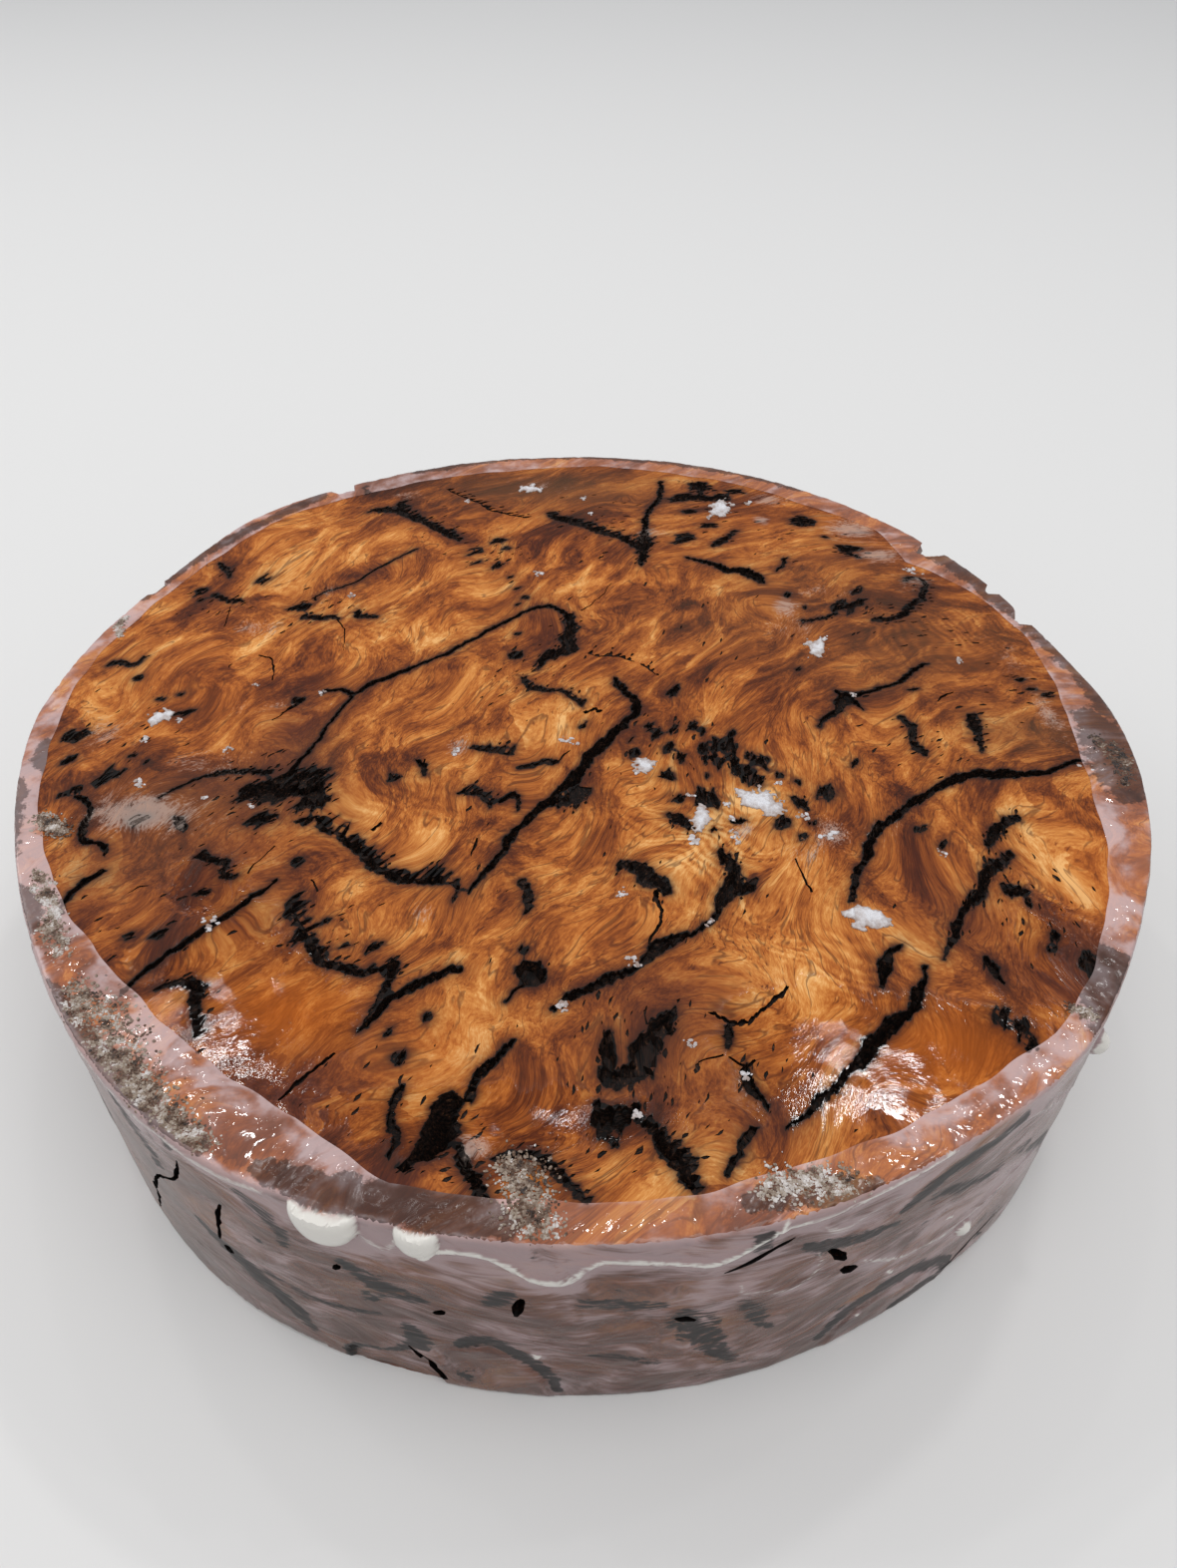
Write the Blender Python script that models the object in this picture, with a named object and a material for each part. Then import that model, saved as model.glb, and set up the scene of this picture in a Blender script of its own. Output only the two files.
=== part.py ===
"""Burl bowl blank: a round slab sawn from a burl, with its side and both rims sealed in a dipped wax coat.

The origin is the middle of the underside, +Z is up and +Y points away from the front. Sizes are in
millimetres and become metres where a mesh is made.
"""

import math
import random

import bmesh
import bpy
from mathutils import Matrix, Vector

MM = 0.001

# Driving dimensions
COAT = 0.6  # thickness of the wax
FIT = 0.3  # clearance between wood and wax
SLAB = 62.2  # thickness of the sawn slab
SLAB_BOTTOM = COAT + FIT
SLAB_TOP = SLAB_BOTTOM + SLAB
COAT_TOP = SLAB_TOP + FIT + COAT
SKIN = FIT + COAT  # from the wood to the outside of the wax
STEP_DEGREES = 3.0  # spacing of the points round the slab
RING_DROPS = (42.0, 30.0, 22.0, 10.0)  # heights of its rings of points, below the top

# Outer radius of the sealed blank, one value each 15 degrees from +X anticlockwise
RIM_RADII = (127.5, 124.2, 125.0, 125.8, 127.0, 127.6, 127.5, 128.2, 129.0, 130.6, 126.5, 126.6,
             127.5, 125.3, 124.8, 126.8, 128.3, 127.1, 127.0, 127.4, 127.4, 128.9, 127.4, 127.8)

# Places where bark broke away from the top rim: first and last angle, depth, and reach down the side
RIM_BREAKS = ((35.2, 38.4, 5.0, 30.0), (24.8, 27.0, 2.4, 22.0), (18.4, 21.2, 2.6, 26.0),
              (121.8, 124.6, 2.8, 18.0), (152.6, 155.4, 1.4, 20.0))

# Inner edge of the wax on the top face, where the slab was dipped: angle and radius
DIP_LINE = ((0, 115), (15, 119.6), (30, 117.7), (37, 114), (45, 120), (60, 120), (75, 121.3), (90, 121.5),
            (105, 120.8), (125, 123.4), (135, 125), (150, 121), (165, 122.3), (180, 122), (205, 118),
            (215, 114.4), (235, 112.6), (245, 114.5), (255, 119), (270, 119), (285, 118.6), (300, 118.8),
            (315, 122.5), (330, 121), (345, 116.5))
UNDER_RADIUS = 117.0  # inner edge of the wax on the underside
UNDER_WAVE = 2.0  # how far that edge wanders

# Flakes of wax on the top face: x, y, length, width and turn
FLAKES = ((15.0, -14.7, 5.5, 4.0, 60), (39.6, -26.0, 12.0, 6.5, -18), (26.3, -32.0, 8.0, 3.8, 75),
          (57.5, -59.5, 9.0, 5.5, -25), (42.0, 97.0, 9.0, 6.0, 70), (60.3, 29.0, 7.0, 4.6, 80),
          (-14.3, 108.0, 7.0, 4.0, 10), (-98.7, 2.0, 6.0, 4.6, 20))
FLAKE_HEIGHT = 1.4

# Collections, materials and modifiers


def clear_scene():
    """Start from an empty scene."""
    for item in list(bpy.data.objects):
        bpy.data.objects.remove(item)


def make_collection(name):
    """Add a collection to the scene."""
    group = bpy.data.collections.new(name)
    bpy.context.scene.collection.children.link(group)
    return group


def make_material(name, colour, roughness):
    """Make a Principled material in one colour."""
    material = bpy.data.materials.new(name)
    material.use_nodes = True
    shader = material.node_tree.nodes["Principled BSDF"]
    shader.inputs["Base Color"].default_value = (*colour, 1.0)
    shader.inputs["Roughness"].default_value = roughness
    shader.inputs["Metallic"].default_value = 0.0
    material.diffuse_color = (*colour, 1.0)
    return material


def place(name, mesh, group, matrix=None):
    """Put a mesh into a collection as an object."""
    item = bpy.data.objects.new(name, mesh)
    if matrix is not None:
        item.matrix_world = matrix
    group.objects.link(item)
    return item


def finish_mesh(name, mesh):
    """Turn a bmesh into a mesh that is shaded smooth except at its sharp edges."""
    data = bpy.data.meshes.new(name)
    mesh.to_mesh(data)
    mesh.free()
    data.shade_smooth()
    data.set_sharp_from_angle(angle=math.radians(40))
    return data


def hide_cutter(item):
    """Keep a cutting shape out of the picture."""
    item.hide_render = True
    item.display_type = "WIRE"


def boolean(item, operation, tool=None, tools=None):
    """Add a Boolean with one other object or with a whole collection."""
    modifier = item.modifiers.new(operation.title(), "BOOLEAN")
    modifier.operation = operation
    modifier.solver = "EXACT"
    if tools is None:
        modifier.object = tool
    else:
        modifier.operand_type = "COLLECTION"
        modifier.collection = tools


def apply_modifiers(item):
    """Replace an object's mesh with what its modifiers make of it."""
    bpy.context.view_layer.update()
    evaluated = item.evaluated_get(bpy.context.evaluated_depsgraph_get())
    mesh = bpy.data.meshes.new_from_object(evaluated)
    item.modifiers.clear()
    item.data = mesh


def empty_collection(group):
    """Remove the objects of a collection that have been joined into another object."""
    for item in list(group.objects):
        bpy.data.objects.remove(item)


# The round outline


def ring_value(values, angle):
    """Smooth value at an angle, from values spaced evenly round a circle."""
    place_in_list = (angle % 360.0) / 360.0 * len(values)
    index = int(place_in_list)
    t = place_in_list - index
    p0, p1, p2, p3 = (values[(index + k - 1) % len(values)] for k in range(4))
    curve = (2 * p0 - 5 * p1 + 4 * p2 - p3) * t + (3 * p1 - p0 - 3 * p2 + p3) * t * t
    return p1 + 0.5 * t * ((p2 - p0) + curve)


def rim_radius(angle, z, offset):
    """Radius of the sealed outline moved by offset, with its broken places."""
    radius = ring_value(RIM_RADII, angle) - SKIN + offset
    for first, last, depth, reach in RIM_BREAKS:
        inset = math.degrees(offset / radius)
        if first + inset < angle < last - inset:
            radius -= depth * max(0.0, 1.0 - (SLAB_TOP - z) / reach)
    return radius


def rim_angles(offset):
    """Angles of the points round the outline: even steps, and both sides of each broken place."""
    edges = []
    for first, last, depth, _ in RIM_BREAKS:
        inset = math.degrees(offset / RIM_RADII[0])
        slope = 0.08 + 0.03 * depth
        edges += [first + inset - slope, first + inset + 0.01, last - inset - 0.01, last - inset + slope]
    count = round(360.0 / STEP_DEGREES)
    even = [index * STEP_DEGREES for index in range(count)]
    even = [angle for angle in even if all(abs(angle - edge) > 0.6 for edge in edges)]
    return sorted(even + edges)


def rim_slab(name, group, offset, low, high):
    """Closed slab with the blank's outline moved by offset: rings of points with a cap at each end."""
    levels = [low] + [high - drop for drop in RING_DROPS] + [high]
    mesh = bmesh.new()
    rings = []
    for z in levels:
        ring = []
        for angle in rim_angles(offset):
            radius = rim_radius(angle, z, offset)
            turn = math.radians(angle)
            ring.append(mesh.verts.new((radius * math.cos(turn) * MM, radius * math.sin(turn) * MM, z * MM)))
        rings.append(ring)
    for lower, upper in zip(rings, rings[1:]):
        for index in range(len(lower)):
            after = (index + 1) % len(lower)
            mesh.faces.new((lower[index], lower[after], upper[after], upper[index]))
    mesh.faces.new(list(reversed(rings[0])))
    mesh.faces.new(rings[-1])
    return place(name, finish_mesh(name, mesh), group)


# Flat cutting shapes


def prism(name, group, outline, thickness, matrix):
    """Extruded flat outline as a closed mesh, centred on its own plane."""
    curve = bpy.data.curves.new(name, "CURVE")
    curve.dimensions = "2D"
    curve.fill_mode = "BOTH"
    curve.extrude = thickness / 2 * MM
    spline = curve.splines.new("POLY")
    spline.points.add(len(outline) - 1)
    for point, (x, y) in zip(spline.points, outline):
        point.co = (x * MM, y * MM, 0.0, 1.0)
    spline.use_cyclic_u = True
    return solid_from_curve(name, group, curve, matrix)


def solid_from_curve(name, group, curve, matrix):
    """Turn a curve into a mesh object with welded caps."""
    guide = place(name + "_curve", curve, group, matrix)
    bpy.context.view_layer.update()
    evaluated = guide.evaluated_get(bpy.context.evaluated_depsgraph_get())
    data = bpy.data.meshes.new_from_object(evaluated)
    mesh = bmesh.new()
    mesh.from_mesh(data)
    bmesh.ops.remove_doubles(mesh, verts=mesh.verts, dist=0.000001)
    bmesh.ops.recalc_face_normals(mesh, faces=mesh.faces)
    mesh.to_mesh(data)
    mesh.free()
    solid = place(name, data, group, guide.matrix_world.copy())
    bpy.data.objects.remove(guide)
    bpy.data.curves.remove(curve)
    return solid


def on_top(depth):
    """Placement of a cutter that goes down into the top face, and its thickness."""
    above = 4.0
    return Matrix.Translation((0, 0, (SLAB_TOP + (above - depth) / 2) * MM)), depth + above


def on_side(angle, depth):
    """Placement of a cutter that goes into the side at an angle, and its thickness."""
    outside = 5.0
    radius = ring_value(RIM_RADII, angle) - SKIN + (outside - depth) / 2
    turn = math.radians(angle)
    outward = Vector((math.cos(turn), math.sin(turn), 0))
    along = Vector((-math.sin(turn), math.cos(turn), 0))
    up = Vector((0, 0, 1))
    matrix = Matrix((along, up, outward)).transposed().to_4x4()
    matrix.translation = outward * radius * MM
    return matrix, depth + outside


def split_outline(line, spikes, seed):
    """Outline of a split: its middle line given as x, y and width, with bark feathers along one side.

    Spikes are side (1 is left of the line's direction), spacing, length and the grain's angle.
    """
    middles = [Vector(point[:2]) for point in line]
    sides = {1: [], -1: []}
    for index, middle in enumerate(middles):
        before = middles[max(index - 1, 0)]
        after = middles[min(index + 1, len(middles) - 1)]
        along = (after - before).normalized()
        normal = Vector((-along.y, along.x)) * line[index][2] / 2
        sides[1].append(middle + normal)
        sides[-1].append(middle - normal)
    if spikes is not None:
        side, spacing, length, grain = spikes
        sides[side] = feathered(sides[side], side, spacing, length, grain, seed)
    return [tuple(point) for point in sides[1] + list(reversed(sides[-1]))]


def feathered(edge, side, spacing, length, grain, seed):
    """Edge of a split with a narrow spike of bark at each spacing, all along the grain."""
    draw = random.Random(seed)
    direction = Vector((math.cos(math.radians(grain)), math.sin(math.radians(grain))))
    result = [edge[0]]
    for start, end in zip(edge, edge[1:]):
        run = end - start
        along = run.normalized()
        outward = Vector((-along.y, along.x)) * side
        count = int(run.length / spacing)
        for index in range(count):
            if direction.dot(outward) < 0.35:
                continue
            root = start + run * (index + 0.5) / count
            half = along * spacing * 0.3
            tip = root + direction * length * draw.uniform(0.6, 1.2)
            result += [root - half, tip, root + half]
        result.append(end)
    return result


# Splits and bark voids in the top face: x, y and width along the middle line


def top_split(group, name, line, depth, spikes=None):
    """Cutter for one split in the top face."""
    matrix, thickness = on_top(depth)
    hide_cutter(prism(name, group, split_outline(line, spikes, name), thickness, matrix))


def top_pocket(group, name, outline, depth):
    """Cutter for one bark pocket in the top face."""
    matrix, thickness = on_top(depth)
    hide_cutter(prism(name, group, outline, thickness, matrix))


def cut_middle(group):
    """The long centre split with its bark pocket, and the arch above it that ends in a bark column."""
    top_split(group, "centre_split",
              [(8.7, 17.3, 1.0), (12, 11.3, 1.8), (13.7, 6, 2.2), (10, -1.3, 2.6), (4, -9.3, 3.0),
               (0, -18, 3.0), (-5.3, -24.3, 3.2), (-10.7, -31.3, 2.4), (-16, -40.7, 1.6),
               (-22.7, -52.7, 0.5)], 9.0)
    top_pocket(group, "centre_pocket",
               [(0, -19), (3, -22), (2.5, -26), (1.5, -30), (-2, -31), (-6, -29), (-7, -26)], 4.0)
    top_split(group, "arch_split",
              [(-62, 12, 1.0), (-54.5, 11, 1.2), (-49, 15.5, 1.8), (-44, 19.5, 1.5), (-36, 24.5, 1.4),
               (-28, 31.5, 1.4), (-20, 39, 1.4), (-14, 45, 1.4), (-7, 46.8, 1.4), (-3, 43, 1.2)], 6.0)
    top_pocket(group, "bark_column",
               [(-4, 45.5), (0, 44), (-0.5, 38), (0, 31), (1, 28), (-1, 25.5), (-5, 25), (-8, 25),
                (-9.7, 20), (-9.4, 28), (-6, 31), (-5, 35), (-4, 40)], 6.0)
    top_split(group, "feather_patch",
              [(-24, -9.3, 0.8), (-19.3, -10, 1.8), (-14, -11.2, 0.8)], 3.0, (1, 1.8, 2.6, 65))
    top_split(group, "feather_hook",
              [(-26, -24, 1.0), (-21, -25.2, 2.2), (-19.3, -28, 2.4)], 3.0, (1, 2.0, 2.6, 65))
    top_split(group, "feather_hook_right", [(-17.5, -27.5, 1.0), (-14, -24.3, 2.0), (-13, -28.7, 0.8)], 3.0)


def cut_left(group):
    """Splits that bound the left lobe, and the bark pocket where they meet."""
    top_split(group, "left_boundary",
              [(-55.5, 10.5, 0.9), (-57.5, 1, 1.0), (-61, -10, 1.1), (-64, -17, 1.4)], 5.0)
    top_split(group, "left_branch",
              [(-68, -19, 1.6), (-73, -17, 1.3), (-80, -17, 1.3), (-86, -20, 1.2), (-92, -25, 0.8)], 5.0)
    top_pocket(group, "left_pocket",
               [(-66, -17), (-60, -16.5), (-56, -21), (-54, -26), (-56, -29), (-59, -27), (-62, -29),
                (-66, -29), (-70, -28), (-74, -25), (-74, -21), (-70, -18)], 4.0)
    top_split(group, "lower_left_split",
              [(-61.3, -49, 1.0), (-68, -56, 1.8), (-76.7, -66, 2.0), (-82, -72, 1.6),
               (-85.3, -79.3, 0.8)], 6.0)
    top_split(group, "left_rim_split",
              [(-98, -42, 1.0), (-104.5, -38, 1.6), (-106, -29, 1.5), (-110, -24, 0.8)], 4.0)
    top_split(group, "left_hook",
              [(-80, -77, 1.2), (-76, -75.3, 2.2), (-71.6, -77, 2.4), (-70, -84, 1.0)], 4.0)
    top_split(group, "left_dash", [(-79.5, -41.5, 2.4), (-74, -44.5, 2.2), (-70, -48.7, 1.0)], 4.0)
    top_split(group, "outer_dash", [(-96, 52, 1.0), (-92, 50, 2.6), (-88, 49, 1.0)], 4.0)
    top_split(group, "upper_left_arm", [(-62, 96, 1.0), (-56, 95.6, 2.8), (-51, 93.5, 2.0)], 4.0)
    top_split(group, "upper_left_comb",
              [(-52.7, 101.3, 1.2), (-49.3, 92.7, 2.8), (-40.7, 85.3, 2.6), (-33.3, 79.3, 1.2)], 4.0,
              (1, 2.2, 2.6, 60))


def cut_front(group):
    """The two feathered combs, the Y split and the voids at the front rim."""
    top_split(group, "big_comb",
              [(-56, -31, 1.2), (-54, -35, 2.0), (-50, -36.5, 2.4), (-42, -45, 2.8), (-34, -49.3, 2.8),
               (-26.7, -49.3, 1.4)], 4.0, (1, 2.1, 3.0, 60))
    top_split(group, "second_comb",
              [(-58, -54, 1.0), (-55, -61, 2.0), (-51, -67.3, 2.2), (-44, -72, 2.4),
               (-35.5, -71.5, 1.4)], 4.0, (1, 2.2, 2.8, 50))
    top_split(group, "y_split", [(-35.3, -69.3, 1.6), (-36.3, -77.3, 2.4), (-39.7, -85.7, 0.8)], 5.0)
    top_split(group, "y_arm", [(-22, -72.3, 0.8), (-30.7, -76, 1.7), (-38, -82.5, 1.8)], 5.0)
    top_split(group, "front_tail", [(-20, -102, 1.6), (-16, -93.3, 2.0), (-11.7, -88, 0.7)], 5.0)
    top_pocket(group, "front_void",
               [(-19.5, -100), (-22, -101), (-27, -103), (-27, -107), (-26.5, -110), (-29, -113.5),
                (-24, -111.5), (-21, -112), (-19.5, -106)], 8.0)
    top_split(group, "front_comb",
              [(-14.7, -111.3, 0.8), (-8, -111, 1.8), (-3, -114.5, 1.8), (3, -121, 0.8)], 4.0,
              (1, 2.4, 2.2, 80))
    top_split(group, "front_split", [(11.5, -105, 1.4), (15.3, -110, 4.0), (18.7, -116.7, 1.8)], 6.0)
    top_split(group, "front_pit", [(2.2, -104, 1.4), (6, -104, 3.2), (10, -103.8, 1.2)], 5.0)


def cut_right(group):
    """The long curved split on the right, the ones below it and the dark stained zone beside them."""
    top_split(group, "right_split",
              [(115, -12.5, 1.0), (106, -17, 1.8), (96.7, -17.7, 3.0), (91, -18, 3.5), (81.3, -21, 2.4),
               (73.3, -26.7, 2.4), (66.7, -32.7, 2.4), (60.7, -42, 2.0), (54.7, -55.3, 1.0)], 8.0)
    top_split(group, "right_lower_split",
              [(66.3, -70.7, 0.6), (63.3, -78.7, 2.0), (56.7, -85.3, 3.2), (50, -92.7, 2.6),
               (43.5, -98.7, 1.5), (35.3, -105.7, 0.8)], 8.0)
    top_split(group, "right_streak",
              [(90.7, -42, 1.6), (83, -50, 3.6), (76.7, -58, 3.0), (72, -66, 1.8), (70.3, -70, 0.8)], 5.0)
    top_split(group, "right_eye", [(62, -66.7, 0.8), (59, -71.5, 3.0), (56.7, -76, 1.0)], 8.0)
    top_split(group, "serpentine",
              [(-5.3, -81.3, 1.0), (2.7, -76, 1.8), (10, -72.3, 1.2), (16, -66, 2.8), (22, -63.3, 1.4),
               (27.3, -58.7, 1.6), (32, -51, 4.6), (32, -45, 3.0), (29.3, -41.3, 1.2)], 5.0)
    top_split(group, "inner_curl",
              [(8.7, -46, 1.4), (13.5, -46.5, 3.6), (17.5, -52, 3.8), (16, -57, 1.4), (13.5, -66, 0.8)], 4.0)
    top_split(group, "dark_right", [(18, -81.5, 1.6), (14, -86, 4.2), (12.5, -93, 3.0)], 5.0)
    top_split(group, "dark_left", [(5.3, -86.7, 1.4), (4.7, -91, 3.0), (4, -95.8, 2.0)], 5.0)
    top_split(group, "dark_link", [(3.4, -95.1, 1.6), (12.5, -92.3, 2.2)], 5.0)
    top_split(group, "square_blob", [(-9, -69.6, 3.6), (-9, -75.4, 4.2)], 5.0)
    top_split(group, "feather_burst", [(17, -2, 2.0), (27, -8, 2.6), (34.5, -9, 3.4), (37, -17, 3.4)], 3.0,
              (1, 2.2, 3.0, 70))
    top_split(group, "feather_burst_right", [(34.2, -9, 2.0), (41, -13, 2.8)], 3.0)
    top_split(group, "feather_blob", [(25.5, -25.6, 2.6), (31.5, -24.4, 3.4)], 3.0)


def cut_back(group):
    """Splits and combs towards the back of the top face."""
    top_split(group, "back_split",
              [(24.7, 112.7, 1.0), (24.7, 104, 1.4), (21, 96, 1.4), (19, 85.3, 2.2), (18.5, 76, 4.2),
               (17, 68, 0.8)], 6.0)
    top_split(group, "back_comb",
              [(-8, 94, 1.6), (-1.3, 89.3, 3.2), (5.3, 84.7, 2.6), (12, 80.7, 2.0), (17.5, 76.5, 1.4)], 4.0,
              (1, 2.0, 2.4, 75))
    top_split(group, "back_void", [(30, 70.7, 0.6), (38.7, 66, 2.4), (46, 62.5, 3.4), (49.7, 58.7, 1.4)], 8.0)
    top_split(group, "back_blob", [(30.5, 103.4, 4.6), (36, 101.2, 4.2)], 4.0)
    top_split(group, "cross_split",
              [(87, 22.7, 0.8), (78.7, 15.3, 1.4), (71, 11.5, 1.4), (64.7, 8.7, 4.0), (61.3, 4, 2.4),
               (56, -1.3, 0.8)], 5.0)
    top_split(group, "right_arc",
              [(76, 41, 1.4), (84, 42.7, 2.6), (90.7, 50, 2.8), (93.3, 59.3, 1.2)], 4.0)
    top_split(group, "right_dash", [(92.5, 2.5, 3.4), (93, -3, 3.8), (92.7, -10, 0.8)], 4.0)


# Cracks and holes in the side, which the wax leaves open: angle, height and width


def side_split(group, name, line, depth):
    """Cutter for one crack in the side, seen square on at its middle."""
    middle = sum(point[0] for point in line) / len(line)
    radius = ring_value(RIM_RADII, middle)
    flat = [(radius * math.sin(math.radians(angle - middle)), z, width) for angle, z, width in line]
    matrix, thickness = on_side(middle, depth)
    hide_cutter(prism(name, group, split_outline(flat, None, name), thickness, matrix))


def cut_side(group):
    """The cracks of the front left and the bark holes of the front."""
    side_split(group, "side_crack_high", [(237.2, 56, 0.9), (236, 48, 1.4), (235, 44.5, 1.0)], 6.0)
    side_split(group, "side_crack_low", [(230.6, 33, 0.9), (228.4, 24, 1.6), (226.6, 12, 1.4)], 6.0)
    side_split(group, "side_crack_middle", [(240.6, 48, 0.8), (239.7, 42, 1.4), (238.6, 32, 0.9)], 6.0)
    side_split(group, "side_crack_right", [(281.8, 50.2, 0.8), (283.8, 53.2, 1.4), (286, 56.4, 0.8)], 5.0)
    side_split(group, "side_hole_left", [(265.0, 37, 1.2), (265.3, 40, 2.4), (265.6, 43, 1.4)], 7.0)
    side_split(group, "side_hole_right", [(289.8, 47, 1.6), (290.6, 43.5, 2.8), (291.6, 40, 1.8)], 8.0)
    side_split(group, "side_hole_low", [(291.8, 36.4, 2.0), (292.6, 34.6, 3.2), (292.9, 33, 2.0)], 6.0)
    side_split(group, "base_wedge", [(255.6, 14.5, 1.0), (257.2, 8, 2.4), (258.4, 2.6, 1.6)], 5.0)


# The wax


def wax_outline(radius_at):
    """Closed outline round the slab's axis, a point each six degrees."""
    outline = []
    for angle in range(0, 360, 6):
        turn = math.radians(angle)
        radius = radius_at(angle)
        outline.append((radius * math.cos(turn), radius * math.sin(turn)))
    return outline


def dip_radius(angle):
    """Radius of the dip line at an angle, on straight runs between its points."""
    line = list(DIP_LINE) + [(360 + DIP_LINE[0][0], DIP_LINE[0][1])]
    for (first, start), (last, end) in zip(line, line[1:]):
        if first <= angle <= last:
            return start + (end - start) * (angle - first) / (last - first)
    return line[-1][1]


def under_radius(angle):
    """Radius of the wax edge on the underside, a slow wave."""
    return UNDER_RADIUS + UNDER_WAVE * math.sin(math.radians(3 * angle + 40))


def cut_flat(mesh, level, keep_above):
    """Cut a closed bmesh along a level plane, drop one side and close the cut."""
    normal = (0, 0, -1) if keep_above else (0, 0, 1)
    cut = bmesh.ops.bisect_plane(mesh, geom=mesh.verts[:] + mesh.edges[:] + mesh.faces[:], dist=0.0000001,
                                 plane_co=(0, 0, level), plane_no=normal, clear_outer=True)
    rim = [edge for edge in cut["geom_cut"] if isinstance(edge, bmesh.types.BMEdge)]
    if rim:
        bmesh.ops.edgenet_fill(mesh, edges=rim)
    bmesh.ops.recalc_face_normals(mesh, faces=mesh.faces)


def wax_lump(group, name, angle, z, wide, proud, tall):
    """One hanging bead or drip: a stretched ball sunk into the coat, cut off level with the top rim."""
    radius = ring_value(RIM_RADII, angle) - 0.2
    turn = math.radians(angle)
    mesh = bmesh.new()
    bmesh.ops.create_uvsphere(mesh, u_segments=14, v_segments=9, radius=1.0)
    bmesh.ops.scale(mesh, vec=Vector((proud, wide, tall)) * MM, verts=mesh.verts)
    bmesh.ops.rotate(mesh, cent=(0, 0, 0), matrix=Matrix.Rotation(turn, 3, "Z"), verts=mesh.verts)
    spot = Vector((radius * math.cos(turn), radius * math.sin(turn), z)) * MM
    bmesh.ops.translate(mesh, vec=spot, verts=mesh.verts)
    cut_flat(mesh, (COAT_TOP - 0.2) * MM, keep_above=False)
    hide_cutter(place(name, finish_mesh(name, mesh), group))


def wax_run(group, name, route, radius):
    """Raised edge of a wax run on the side, a round bead half sunk into the coat."""
    curve = bpy.data.curves.new(name, "CURVE")
    curve.dimensions = "3D"
    curve.bevel_depth = radius * MM
    curve.bevel_resolution = 1
    curve.use_fill_caps = True
    spline = curve.splines.new("POLY")
    spline.points.add(len(route) - 1)
    for point, (angle, z) in zip(spline.points, route):
        turn = math.radians(angle)
        reach = ring_value(RIM_RADII, angle) - 0.25
        point.co = (reach * math.cos(turn) * MM, reach * math.sin(turn) * MM, z * MM, 1.0)
    hide_cutter(solid_from_curve(name, group, curve, Matrix.Identity(4)))


def wax_lumps(group):
    """The two big beads under the front rim, the drips, and the raised edge of the long run."""
    wax_lump(group, "bead_large", 251.0, 61.5, 5.7, 3.4, 8.4)
    wax_lump(group, "bead_small", 258.0, 61.5, 3.4, 2.6, 6.0)
    wax_lump(group, "drip_right", 323.5, 45.0, 2.6, 3.4, 4.0)
    wax_lump(group, "drip_front", 306.0, 22.0, 2.0, 1.6, 3.0)
    wax_run(group, "run_edge",
            [(257.4, 56), (259.5, 58.6), (261.5, 59.6), (263.2, 59.3), (264.6, 57.8), (265.4, 55),
             (266.2, 52), (267.2, 50.2), (268.4, 50), (269.6, 52), (270.2, 55.4), (271.5, 58.6),
             (274, 58.2), (276.6, 56.2), (278.8, 54.6), (280.2, 53.4), (281.6, 55.4), (283, 58),
             (284.8, 60.4)], 0.75)


def make_wax_seal(group, scratch, material):
    """The dipped coat: the outline moved out by the wax, less the wood's space and both openings."""
    coat = rim_slab("wax_seal", group, SKIN, 0.0, COAT_TOP)
    lumps = make_collection("wax_lumps")
    wax_lumps(lumps)
    boolean(coat, "UNION", tools=lumps)
    apply_modifiers(coat)
    empty_collection(lumps)
    bpy.data.collections.remove(lumps)
    room = rim_slab("wood_room", scratch, FIT, COAT, SLAB_TOP + FIT)
    deep = 8.0
    top_place = Matrix.Translation((0, 0, COAT_TOP * MM))
    under_place = Matrix.Translation((0, 0, 0))
    top = prism("top_opening", scratch, wax_outline(dip_radius), deep, top_place)
    under = prism("under_opening", scratch, wax_outline(under_radius), deep, under_place)
    for tool in (room, top, under):
        hide_cutter(tool)
        boolean(coat, "DIFFERENCE", tool)
    coat.data.materials.clear()
    coat.data.materials.append(material)
    return coat


def make_flake(group, name, x, y, long, wide, turn, material):
    """A flake of wax lying on the top face: a flattened uneven ball with a flat underside."""
    draw = random.Random(name)
    mesh = bmesh.new()
    bmesh.ops.create_icosphere(mesh, subdivisions=2, radius=1.0)
    for vert in mesh.verts:
        vert.co *= draw.uniform(0.84, 1.0)
    bmesh.ops.scale(mesh, vec=Vector((long / 2, wide / 2, FLAKE_HEIGHT)) * MM, verts=mesh.verts)
    spin = Matrix.Rotation(math.radians(turn), 3, "Z")
    bmesh.ops.rotate(mesh, cent=(0, 0, 0), matrix=spin, verts=mesh.verts)
    cut_flat(mesh, 0.0, keep_above=True)
    data = finish_mesh(name, mesh)
    data.materials.append(material)
    flake = place(name, data, group)
    flake.location = Vector((x, y, SLAB_TOP + FIT)) * MM
    return flake


# Assembly


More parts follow.
